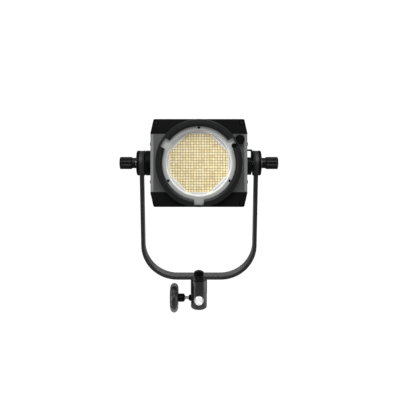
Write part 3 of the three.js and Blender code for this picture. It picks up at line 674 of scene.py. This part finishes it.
def make_clamp_wheel():
    """A wheel with eight shallow flutes: a fat round rim, a thin web and a dish in the outer face."""
    r, out = WHEEL.size.z / 2, WHEEL.low.x
    web_r, crown = r - 2 * RIM_R, 1.15
    web = [(0, WHEEL_BACK - 1), (web_r, WHEEL_BACK)]
    rim = [(r + (h - RIM_R) * crown, out + RIM_R + w) for h, w in arc((0, 0), RIM_R, 90, -90, 24)]
    dish_r, button_r, dish_floor, button_face = 12, 6, out + 1.4, out + 1
    dish = rounded([
        (web_r, out), (dish_r, dish_floor), (button_r + 0.5, dish_floor), (button_r, button_face),
        (0, button_face),
    ], [0, 1.2, 0.4, 0.4, 0], closed=False)
    flutes = knurl(count=8, depth=1.1, sharpness=1.2, r_from=r * 0.75)
    wheel = lathe([*web, *rim, *dish], "x", 0, CLAMP_Z, KNURL_STEPS, flutes)
    piece("clamp_wheel", wheel, WHEEL_BLACK, "clamp_knob", ["clamp_knob"], bevel=0, sharp=40)


def make_clamp_ferrule():
    """A small bright cone where the screw leaves the hub."""
    low, high = WHEEL.high.x + 0.1, WHEEL.high.x + 1.2
    low_r, high_r = 4.8, 3.7
    cone = rounded([(CLAMP_HOLE_R, low), (low_r, low), (high_r, high), (CLAMP_HOLE_R, high)], 0.2)
    piece("clamp_ferrule", lathe(cone, "x", 0, CLAMP_Z, 64), STEEL, "clamp_knob", bevel=0, slot="steel")


make_yoke()
for word, side in SIDES.items():
    make_hub(word, side)
    make_friction_disc(word, side)
    make_tilt_knob(word, side)
    make_tilt_washer(word)
make_receiver()
make_saddle()
make_bolt()
make_clamp_boss()
threaded("clamp_thread", "clamp_screw", "clamp_knob", CLAMP_Z, CLAMP_SCREW_R, CLAMP_PITCH)
make_clamp_tip()
make_clamp_hub()
make_clamp_wheel()
make_clamp_ferrule()


# ---- head casing ----
TOP = Span("top_shell", HEAD)
PLATE = Span("front_plate", HEAD)
REAR = Span("rear_cover", HEAD)
MID_W = TOP.high.x
TOP_W = 70.9
STRIP_Z = TOP.low.z
TOP_Z = TOP.high.z
FRONT = TOP.low.y
SHELL_BACK = TOP.high.y
PLATE_BACK = PLATE.high.y
WALL = 3.0
FLANGE_W, FLANGE_H = 55.7, 65.2
OPENING_R = 54.3
EDGE_R = 3.2
CORNER = Span("corner_screw_2", HEAD).middle
CORNER_SCREW_R = 3.2
PIN = Span("lock_pin", HEAD)
PIN_R = PIN.size.x / 2
PIN_HOLE = circle(PIN_R + 0.4, PIN.middle.x, PIN.middle.z, HOLE_STEPS)
TAB = Span("release_tab", HEAD)
TAB_R = 7.0
TAB_CENTRE = (TAB.high.x - TAB_R, TAB.high.z - TAB_R)


def make_shell(word, place):
    """The upper half of the casing; turned over by its place, it is the lower half."""
    outline = rounded([(-MID_W, STRIP_Z), (MID_W, STRIP_Z), (TOP_W, TOP_Z), (-TOP_W, TOP_Z)],
                      [0.2, 0.2, EDGE_R, EDGE_R], 6)
    below = STRIP_Z - 2 * OVERCUT
    inside = [(-MID_W + WALL, below), (MID_W - WALL, below), (TOP_W - WALL, TOP_Z - WALL),
              (-TOP_W + WALL, TOP_Z - WALL)]
    pocket = rectangle(-FLANGE_W - GAP, below, FLANGE_W + GAP, FLANGE_H + GAP)
    recess_r, recess_depth = CORNER_SCREW_R + 1, 2.8
    recesses = [circle(recess_r, side * CORNER.x, CORNER.z, HOLE_STEPS) for side in SIDES.values()]
    cuts = [
        prism(inside, PLATE_BACK, SHELL_BACK + OVERCUT, "y"),
        prism(pocket, FRONT + WALL, PLATE_BACK + OVERCUT, "y"),
        through(circle(OPENING_R + GAP, steps=FINE_STEPS), FRONT, PLATE_BACK, "y"),
        *[prism(recess, FRONT - OVERCUT, FRONT + recess_depth, "y") for recess in recesses],
        *shell_vents(),
    ]
    piece(f"{word}_casing", prism(outline, FRONT, SHELL_BACK, "y"), SHELL_BLACK, "head", [f"{word}_shell"],
          place, cut=cuts, bevel=0.8)


def shell_vents():
    count, pitch, start, half_length, width = 9, 9, -58, 44, 4
    slots = []
    for i in range(count):
        y = start + i * pitch
        slot = rectangle(-half_length, y, half_length, y + width, 1.9)
        slots.append(prism(slot, TOP_Z - WALL - 2 * OVERCUT, TOP_Z + OVERCUT, "z"))
    return slots


def release_outline(grow=0.0):
    """The release tab seen from the front: most of a circle, with its flat towards the ring."""
    half_turn = 129
    radial = math.degrees(math.atan2(TAB_CENTRE[1], TAB_CENTRE[0]))
    return arc(TAB_CENTRE, TAB_R + grow, radial - half_turn, radial + half_turn, 40)


def make_front_plate():
    """The grey face: slanted upright edges, the light's opening and a flange inside the shells."""
    slant_width, slant_back = 5.0, FRONT + 4.0
    section = [(-MID_W, PLATE_BACK), (-MID_W, slant_back), (-MID_W + slant_width, FRONT),
               (MID_W - slant_width, FRONT), (MID_W, slant_back), (MID_W, PLATE_BACK)]
    flange = rectangle(-FLANGE_W, -FLANGE_H, FLANGE_W, FLANGE_H, 2)
    openings = [circle(OPENING_R, steps=FINE_STEPS), PIN_HOLE, release_outline(0.5)]
    half = STRIP_Z - GAP
    head_piece("face_plate", prism(section, -half, half, "z"), FACE_GREY, ["front_plate"],
               cut=[through(opening, FRONT, PLATE_BACK, "y") for opening in openings],
               join=[prism(flange, FRONT + WALL + GAP, PLATE_BACK, "y")], bevel=0.5, sharp=25)


def make_side(word):
    """A flat side panel with a hole for the pivot and a block of upright vents."""
    panel = Span(f"side_panel_{word}", HEAD)
    count, pitch, start, half_length, width = 8, 8, 34, 30, 3.6
    openings = [circle(HOLE_R + 1, steps=48)]
    for i in range(count):
        y = start + i * pitch
        openings.append(rectangle(y, -half_length, y + width, half_length, 1.7))
    outline = rectangle(panel.low.y, panel.low.z, panel.high.y, panel.high.z, 0.6)
    head_piece(f"side_{word}", prism(outline, panel.low.x, panel.high.x, "x"), CHARCOAL,
               [f"side_panel_{word}"],
               cut=[through(opening, panel.low.x, panel.high.x, "x") for opening in openings], bevel=0.45)


make_shell("top", HEAD)
make_shell("bottom", HEAD @ Matrix.Rotation(math.pi, 4, "Y"))
make_front_plate()
for word in SIDES:
    make_side(word)


# ---- bayonet mount ----
RING = Span("bayonet_ring", HEAD)
BASE = Span("mount_base_ring", HEAD)
NOTCHES = (60, 180, 300)
RING_STEPS = 160


def turn(bm, angle):
    """Turns a mesh about the Y axis."""
    bmesh.ops.rotate(bm, verts=bm.verts, matrix=Matrix.Rotation(angle, 3, "Y"))


def make_bayonet_ring():
    """The dark ring: three notches in a lip, and behind it the undercut that an accessory turns into."""
    r, front, back = RING.size.x / 2, RING.low.y, RING.high.y
    lip_r, lip_front, lip_back, undercut_r = 56.8, front + 1.6, front + 3.5, 65.5
    face_in, step_r, step = 60.6, 60.2, front + 0.5
    profile = rounded([
        (undercut_r, back), (r, back), (r, front), (face_in, front), (step_r, step), (lip_r, lip_front),
        (lip_r, lip_back), (undercut_r, lip_back),
    ], [0.1, 0.4, 1.3, 0.25, 0.25, 0.3, 0.3, 0.2])
    half_width, notch_in, notch_out = 7.5, 40, 65
    cuts = []
    for angle in NOTCHES:
        notch = rectangle(-half_width, notch_in, half_width, notch_out, 1.2)
        cutter = through(notch, front, lip_back, "y")
        turn(cutter, math.radians(angle))
        cuts.append(cutter)
    head_piece("bayonet", lathe(profile, "y", steps=RING_STEPS), RING_BLACK, ["bayonet_ring"], cut=cuts,
               bevel=0.35)


def make_base_ring():
    """The silver ring at the bottom of the mount, drilled for the lock pin and the ring screws."""
    face, back = BASE.low.y, BASE.high.y
    inner, outer, screw_hole_r = 51.3, BASE.size.x / 2, 2.1
    profile = rounded([(inner, back), (inner, face), (outer, face), (outer, back)], [0, 0.7, 0.2, 0])
    holes = [PIN_HOLE]
    for i in (1, 2, 3):
        screw = Span(f"ring_screw_{i}", HEAD).middle
        holes.append(circle(screw_hole_r, screw.x, screw.z, 24))
    head_piece("base_ring", lathe(profile, "y", steps=RING_STEPS), SILVER, ["mount_base_ring"],
               cut=[through(hole, face, back, "y") for hole in holes], bevel=0.2)


def socket_screw(name, node, material, r, crown, socket_r, depth, steps, bevel):
    """A screw's head that faces the front, rounded by crown, with a hexagon socket."""
    screw = Span(node, HEAD)
    x, z, front = screw.middle.x, screw.middle.z, screw.low.y
    cap = rounded(band(0, r, front, screw.high.y), [0, crown, 0, 0], closed=False)
    socket = prism(hexagon(socket_r, x, z), front - OVERCUT, front + depth, "y")
    head_piece(name, lathe(cap, "y", x, z, steps), material, [node], cut=[socket], bevel=bevel)


def make_plunger():
    """The lock pin that drops into an accessory's notch."""
    profile = rounded(band(0, PIN_R, PIN.low.y, PIN.high.y), [0, 1.0, 0.2, 0], closed=False)
    piece("lock_plunger", lathe(profile, "y", PIN.middle.x, PIN.middle.z, 48), PIN_BLACK, "mount_lock",
          ["lock_pin"], HEAD, bevel=0)


def make_release_tab():
    """The button outside the ring, with an arm behind the front plate that reaches the lock pin."""
    back, thick, half_width, overlap = PLATE_BACK + 0.6, 2.8, 3.4, 3
    button = prism(release_outline(), TAB.low.y, back + thick, "y")
    across, up = TAB_CENTRE[0] - PIN.middle.x, TAB_CENTRE[1] - PIN.middle.z
    length, angle = math.hypot(across, up), math.atan2(up, across)
    arm = prism(rectangle(-overlap, -half_width, length, half_width, 1), back, back + thick, "y")
    turn(arm, -angle)
    bmesh.ops.translate(arm, verts=arm.verts, vec=(PIN.middle.x, 0, PIN.middle.z))
    piece("release_button", button, PIN_BLACK, "mount_lock", ["release_tab"], HEAD, join=[arm], bevel=0.7)


make_bayonet_ring()
for i in (1, 2, 3):
    socket_screw(f"ring_bolt_{i}", f"ring_screw_{i}", PIN_BLACK, r=1.8, crown=0.4, socket_r=0.95, depth=1,
                 steps=32, bevel=0.1)
make_base_ring()
make_plunger()
make_release_tab()


# ---- light source ----
LED_FLATS = 93.5
LED_DIAGONAL = 90.5
CHIP_PITCH = 4.2
CHIP_SIZE = 3.6
CHIP_SIZE_SPREAD = (0.94, 1.04)
CHIP_HEIGHTS = (0.25, 0.4)
BED_THICK = 0.25
RIM = Span("reflector_frame", HEAD)
LED = Span("led_array", HEAD)


def octagon(grow=0.0):
    """Its slanted sides are a little closer to the middle than the upright and level ones."""
    far = (LED_FLATS + grow) / 2
    near = (LED_DIAGONAL + grow) / 2 * math.sqrt(2) - far
    return [(far, near), (near, far), (-near, far), (-far, near), (-far, -near), (-near, -far), (near, -far),
            (far, -near)]


def inside_octagon(across, up, grow):
    a, u = abs(across), abs(up)
    return max(a, u) <= (LED_FLATS + grow) / 2 and a + u <= (LED_DIAGONAL + grow) / math.sqrt(2)


def make_chips(front):
    """Rows and columns of small domed tiles that fill the octagon, each with its own slight size."""
    shuffle = random.Random(7)
    bm = bmesh.new()
    reach = int(LED_FLATS / CHIP_PITCH / 2) + 1
    for i in range(-reach, reach):
        for k in range(-reach, reach):
            across, up = (i + 0.5) * CHIP_PITCH, (k + 0.5) * CHIP_PITCH
            if not inside_octagon(across, up, CHIP_SIZE * 0.8):
                continue
            half = CHIP_SIZE / 2 * shuffle.uniform(*CHIP_SIZE_SPREAD)
            chip(bm, across, up, half, front - shuffle.uniform(*CHIP_HEIGHTS))
    clip_to_octagon(bm, grow=-1.2)
    head_piece("led_chips", bm, PHOSPHOR, bevel=0, slot="led_phosphor")


def clip_to_octagon(bm, grow):
    """Cuts off what lies past each side of the octagon and closes the tiles that it cut."""
    for i in range(8):
        angle = i * math.pi / 4
        outward = Vector((math.cos(angle), 0, math.sin(angle)))
        reach = ((LED_DIAGONAL if i % 2 else LED_FLATS) + grow) / 2
        everything = bm.verts[:] + bm.edges[:] + bm.faces[:]
        cut = bmesh.ops.bisect_plane(bm, geom=everything, plane_co=outward * reach, plane_no=outward,
                                     clear_outer=True)
        edges = [e for e in cut["geom_cut"] if isinstance(e, bmesh.types.BMEdge)]
        bmesh.ops.holes_fill(bm, edges=edges, sides=12)


def chip(bm, across, up, half, front):
    """Adds one tile: a square base with clipped corners and a smaller crown in front of it."""
    skirt, slope = 0.6, 0.35
    rings = []
    for size, corner, y in ((half, 0.5, front + skirt), (half - slope, 0.4, front)):
        outline = rectangle(across - size, up - size, across + size, up + size, corner, 1)
        rings.append([bm.verts.new(at("y", p[0], p[1], y)) for p in outline])
    base, crown = rings
    count = len(base)
    for i in range(count):
        j = (i + 1) % count
        bm.faces.new((base[i], base[j], crown[j], crown[i]))
    bm.faces.new(crown)
    bm.faces.new(reversed(base))


def make_window():
    """The clear glass in front, inside a white rim."""
    glass, r = Span("glass_disc", HEAD), RIM.size.x / 2
    back_r, front_r = 49.6, 50.3
    window = rounded(band(0, r, glass.low.y, glass.high.y), [0, 0.4, 0.4, 0], closed=False)
    head_piece("front_glass", lathe(window, "y"), GLASS, ["glass_disc"], bevel=0)
    ring = rounded([(back_r, RIM.high.y), (front_r, RIM.low.y), (r, RIM.low.y), (r, RIM.high.y)],
                   [0, 0.4, 0.2, 0])
    head_piece("white_rim", lathe(ring, "y", steps=128), WHITE, ["reflector_frame"], bevel=0)


def make_led():
    """A round board, a low white dam round the octagon, a dull bed in it and the tiles on the bed."""
    front, board_r, dam_height, dam_root, bed_gap = LED.low.y, 49.4, 1.2, 0.2, 0.02
    board = prism(circle(board_r, steps=FINE_STEPS), front, LED.high.y, "y")
    head_piece("led_board", board, LILAC, ["led_array"], bevel=0.2)
    dam_front = front - dam_height
    dam = prism(octagon(grow=1.6), dam_front, front + dam_root, "y")
    hollow = through(octagon(grow=-0.8), dam_front, front, "y")
    head_piece("led_dam", dam, WHITE, cut=[hollow], bevel=0.2, slot="white_plastic")
    bed = prism(octagon(grow=-0.9), front - BED_THICK, front - bed_gap, "y")
    head_piece("led_bed", bed, GRID, bevel=0, slot="led_phosphor")
    make_chips(front - BED_THICK)


make_window()
make_led()


# ---- pivots, cable eye and screws on the head ----
def make_pivots():
    """A round boss on the left; on the right a collar with a larger lobe below the pivot."""
    left, right = Span("pivot_boss_left", HEAD), Span("pivot_boss_right", HEAD)
    boss = rounded([(HOLE_R, left.high.x), (HUB_R, left.high.x), (HUB_R, left.low.x), (HOLE_R, left.low.x)],
                   [0, 0.4, 1.2, 0.3])
    head_piece("pivot_left", lathe(boss, "x"), BOSS_BLACK, ["pivot_boss_left"], bevel=0)
    collar_r, lobe_r = right.high.z, -right.low.z
    collar = prism(circle(collar_r), right.low.x, right.high.x, "x")
    lobe = prism(arc((0, 0), lobe_r, 180, 360, 40), right.low.x, right.high.x, "x")
    hole = through(circle(HOLE_R, steps=HOLE_STEPS), right.low.x, right.high.x, "x")
    head_piece("pivot_right", collar, BOSS_BLACK, ["pivot_boss_right"], cut=[hole], join=[lobe], bevel=0.6)


def make_cable_eye():
    """A bent strap over the right pivot; a safety cable goes through the gap under its bridge."""
    loop = Span("safety_cable_loop", HEAD)
    inner, outer, top = loop.low.x, loop.high.x, loop.high.z
    thick, bridge_low, foot_low, half_width, eye_r = 1.5, 20.6, 17.5, 6.0, 10
    path = rounded([
        (inner, foot_low), (inner, top), (outer, top), (outer, 0), (outer - thick, 0),
        (outer - thick, bridge_low), (inner + thick, bridge_low), (inner + thick, foot_low),
    ], [0.4, 2.4, 2.4, 0, 0, 1.6, 1.6, 0.4], 5)
    strap = prism(path, -half_width, half_width, "y")
    eye = prism(circle(eye_r, steps=48), outer - thick, outer, "x")
    hole = prism(circle(HOLE_R, steps=HOLE_STEPS), outer - 4, outer + OVERCUT, "x")
    head_piece("cable_eye", strap, BOSS_BLACK, ["safety_cable_loop"], cut=[hole], join=[eye], bevel=0.35)


def make_side_screw(i):
    """A low domed screw on a side panel."""
    span = Span(f"side_screw_{i}", HEAD)
    y, z = span.middle.y, span.middle.z
    side = 1 if span.middle.x > 0 else -1
    seat = min(abs(span.low.x), abs(span.high.x))
    dome = [(0, 0), (3.35, 0), (3.3, 0.5), (2.7, 1.2), (1.6, 1.55), (0, 1.6)]
    screw = lathe([(r, side * (seat + h)) for r, h in dome], "x", y, z, 40)
    socket_r, socket_floor, past_dome = 1.2, 0.7, 3
    ends = sorted((side * (seat + socket_floor), side * (seat + past_dome)))
    recess = prism(hexagon(socket_r, y, z), *ends, "x")
    head_piece(f"side_bolt_{i}", screw, SCREW_BLACK, [f"side_screw_{i}"], cut=[recess], bevel=0.1)


make_pivots()
make_cable_eye()
for i in (1, 2, 3, 4):
    socket_screw(f"corner_bolt_{i}", f"corner_screw_{i}", SCREW_BLACK, r=CORNER_SCREW_R, crown=0.6,
                 socket_r=1.7, depth=1.6, steps=40, bevel=0.12)
    make_side_screw(i)


# ---- rear cover and controls ----
SCREEN_SPAN = Span("display_window", HEAD)
DIAL = Span("dimmer_knob", HEAD)
BUTTONS = {i: Span(f"button_{i}", HEAD) for i in (1, 2, 3)}
SWITCH = Span("power_switch", HEAD)
INLET = Span("power_inlet", HEAD)
PORT = Span("control_port", HEAD)


def rear_outline(inset):
    w, t, z, top = MID_W - inset, TOP_W - inset, STRIP_Z, TOP_Z - inset
    points = [(-w, -z), (-t, -top), (t, -top), (w, -z), (w, z), (t, top), (-t, top), (-w, z)]
    return rounded(points, [1, EDGE_R, EDGE_R, 1, 1, EDGE_R, EDGE_R, 1], 6)


def around(span, across, up, corner):
    """A node's rectangle seen from behind, grown by a margin across and a margin up."""
    return rectangle(span.low.x - across, span.low.z - up, span.high.x + across, span.high.z + up, corner)


def make_rear_cover():
    """A stepped plate with a seat for the display and openings for the controls and sockets."""
    front, face, step, seat_depth = REAR.low.y, REAR.high.y, 2, 2
    shaft_hole_r, button_hole_r = 3.6, 4.8
    openings = [around(INLET, GAP, GAP, 0.8), around(PORT, GAP, GAP, 0.8), around(SWITCH, 0.8, 1.3, 0.8)]
    openings.append(circle(shaft_hole_r, DIAL.middle.x, DIAL.middle.z, HOLE_STEPS))
    for button in BUTTONS.values():
        openings.append(circle(button_hole_r, button.middle.x, button.middle.z, 40))
    seat = prism(around(SCREEN_SPAN, GAP, GAP, 1), face - seat_depth, face + OVERCUT, "y")
    cuts = [seat] + [through(opening, front, face, "y") for opening in openings]
    raised = prism(rear_outline(step), front + OVERCUT, face, "y")
    head_piece("back_cover", prism(rear_outline(0), front, face - step, "y"), CHARCOAL, ["rear_cover"],
               cut=cuts, join=[raised], bevel=0.5, sharp=30)


def make_display():
    pane = prism(around(SCREEN_SPAN, 0, 0, 0.8), SCREEN_SPAN.low.y, SCREEN_SPAN.high.y, "y")
    head_piece("display_pane", pane, SCREEN, ["display_window"], bevel=0.2)


def make_dial():
    """A finely fluted dial on a shaft, with a pointer in its dished face."""
    x, z, r = DIAL.middle.x, DIAL.middle.z, DIAL.size.x / 2
    near, far = REAR.high.y + 0.5, DIAL.high.y
    shaft_r, dish_out, dish_in, dish_floor = 3.3, 8.4, 7.8, far - 0.5
    knob = rounded([
        (0, DIAL.low.y), (shaft_r, DIAL.low.y), (shaft_r, near), (r, near), (r, far), (dish_out, far),
        (dish_in, dish_floor), (0, dish_floor),
    ], [0, 0.3, 0, 0.6, 1.4, 0.3, 0.3, 0], closed=False)
    grip = lathe(knob, "y", x, z, KNURL_STEPS, knurl(count=24, depth=0.5, sharpness=1.5, r_from=10))
    piece("dimmer_grip", grip, KNOB_BLACK, "dimmer_knob", ["dimmer_knob"], HEAD, bevel=0, sharp=40)
    half_width, start, end, mark_root, mark_face = 0.5, 3, 7.4, far - 0.8, far - 0.3
    mark = rectangle(x - half_width, z + start, x + half_width, z + end, 0.3)
    piece("dimmer_pointer", prism(mark, mark_root, mark_face, "y"), WHITE, "dimmer_knob", place=HEAD, bevel=0,
          slot="white_plastic")


def make_button(i):
    """A push button with a dished face and a flange that keeps it behind the cover."""
    button = BUTTONS[i]
    low, high = button.low.y, button.high.y
    flange_r, cap_r, dish_r, flange = 5.9, 4.5, 2.5, low + 1
    profile = rounded([
        (0, low), (flange_r, low), (flange_r, flange), (cap_r, flange), (cap_r, high), (dish_r, high - 0.35),
        (0, high - 0.45),
    ], [0, 0.2, 0.2, 0, 0.7, 1, 0], closed=False)
    piece(f"push_button_{i}", lathe(profile, "y", button.middle.x, button.middle.z, 48), KNOB_BLACK,
          f"button_{i}", [f"button_{i}"], HEAD, bevel=0)


def make_socket(name, node, span, depth):
    """A rectangular socket whose cavity opens to the rear."""
    face, wall = span.high.y, 1.9
    body = prism(around(span, 0, 0, 0.8), span.low.y, face, "y")
    cavity = prism(around(span, -wall, -wall, 1.5), face - depth, face + OVERCUT, "y")
    head_piece(name, body, BOSS_BLACK, [node], cut=[cavity])


def make_inlet_pins():
    root, tip, half_width, half_height = INLET.high.y - 17, INLET.high.y - 10.7, 1, 2
    for k, (across, up) in enumerate(((-7, -2), (0, 3), (7, -2)), 1):
        x, z = INLET.middle.x + across, INLET.middle.z + up
        section = rectangle(x - half_width, z - half_height, x + half_width, z + half_height, 0.3)
        pin = prism(section, root, tip, "y")
        head_piece(f"inlet_pin_{k}", pin, STEEL, bevel=0.2, slot="steel")


def make_switch():
    """A rocker: one half of its face stands out and the other is pressed in."""
    middle, half, taper = SWITCH.middle.z, SWITCH.size.z / 2, 1.5
    valley, pressed = REAR.high.y + 0.6, REAR.high.y + 0.2
    profile = rounded([
        (SWITCH.low.y, middle - half + taper), (SWITCH.low.y, middle + half - taper),
        (SWITCH.high.y, middle + half), (valley, middle), (pressed, middle - half),
    ], [0.4, 0.4, 0.6, 3, 0.6], 5)
    rocker = prism(profile, SWITCH.low.x, SWITCH.high.x, "x")
    piece("rocker", rocker, PIN_BLACK, "power_switch", ["power_switch"], HEAD)


make_rear_cover()
make_display()
make_dial()
for i in BUTTONS:
    make_button(i)
make_socket("mains_inlet", "power_inlet", INLET, 15.7)
make_inlet_pins()
make_socket("data_port", "control_port", PORT, 11.7)
make_switch()

# ---- pieces seen only through the vents keep their CAD shape ----
INNER = {
    "heatsink": FIN_METAL, "heat_spreader": COPPER, "fan_frame": BOSS_BLACK, "fan_rotor": PIN_BLACK,
    "driver_board": BOARD,
}
for node, material in INNER.items():
    mesh = frame["nodes"][node].data
    mesh.materials.clear()
    mesh.materials.append(material)


# ---- floor, light and camera ----
def floor_paper():
    """White paper that shines a little, as if lit from below, so that hardly a shadow falls on it."""
    finish = Finish("floor_paper", (0.3, 0.3, 0.3), 0.8, 0.0, 0.1)
    finish.shade({"Emission Color": (1, 1, 1, 1), "Emission Strength": 0.88})
    finish.vary_color(finish.noise(8, 2), 0.99, 1.01)
    return finish.material


def make_floor(r, thick, drop):
    """A round table top under the part, all in millimetres; drop is the gap below the part."""
    top = CAD_BOX[0][2] / MM - drop
    floor = as_object(prism(circle(r, steps=FINE_STEPS), top - thick, top, "z"), "floor")
    floor.data.transform(Matrix.Scale(MM, 4))
    floor.data.materials.append(floor_paper())


def make_room(backdrop, room):
    """A white backdrop to the camera; a dimmer room to all else, so that the softboxes shape dark paint."""
    world = bpy.data.worlds.new("studio")
    world.use_nodes = True
    tree = world.node_tree
    camera_ray = tree.nodes.new("ShaderNodeLightPath").outputs["Is Camera Ray"]
    strength = tree.nodes.new("ShaderNodeMapRange")
    fill(tree, strength, {"Value": camera_ray, "To Min": room, "To Max": backdrop})
    fill(tree, tree.nodes["Background"], {"Color": (1, 1, 1, 1), "Strength": strength.outputs["Result"]})
    SCENE.world = world
    SCENE.view_settings.view_transform = "Standard"


def aim(obj, azimuth, elevation, distance):
    """Faces the pivot from a distance; azimuth is measured from the front, to the right."""
    turned, rise = math.radians(azimuth), math.radians(elevation)
    outward = Vector((math.sin(turned) * math.cos(rise), -math.cos(turned) * math.cos(rise), math.sin(rise)))
    obj.location = PIVOT + outward * distance
    obj.rotation_euler = (-outward).to_track_quat("-Z", "Y").to_euler()
    SCENE.collection.objects.link(obj)


def softbox(name, azimuth, elevation, distance, size, radiance):
    light = bpy.data.lights.new(name, "AREA")
    light.shape = "RECTANGLE"
    light.size, light.size_y = size
    light.energy = math.pi * size[0] * size[1] * radiance
    aim(bpy.data.objects.new(name, light), azimuth, elevation, distance)


# Azimuth and elevation in degrees, distance and size in metres, radiance in W/(m2 sr).
SOFTBOXES = {
    "left_softbox": (-76, -4, 1.5, (1.0, 1.6), 6.2),
    "right_softbox": (92, -4, 1.5, (1.2, 1.6), 4.4),
    "top_softbox": (20, 78, 1.5, (1.2, 1.0), 2.0),
    "front_softbox": (4, 46, 1.6, (1.4, 0.7), 6.4),
    "back_softbox": (180, 6, 1.6, (1.4, 0.5), 1.6),
}

CAMERA_DISTANCE = 0.895
CAMERA_RISE = 10.5
FOCAL = 46.8
SENSOR = 36
SHIFT = (0.00275, -0.0925)


def make_camera():
    data = bpy.data.cameras.new("photo_camera")
    data.lens = FOCAL
    data.sensor_width = SENSOR
    data.shift_x, data.shift_y = SHIFT
    camera = bpy.data.objects.new("photo_camera", data)
    aim(camera, 0, CAMERA_RISE, CAMERA_DISTANCE)
    SCENE.camera = camera


make_floor(r=80, thick=2, drop=0.35)
make_room(backdrop=1.05, room=0.4)
for name, settings in SOFTBOXES.items():
    softbox(name, *settings)
make_camera()
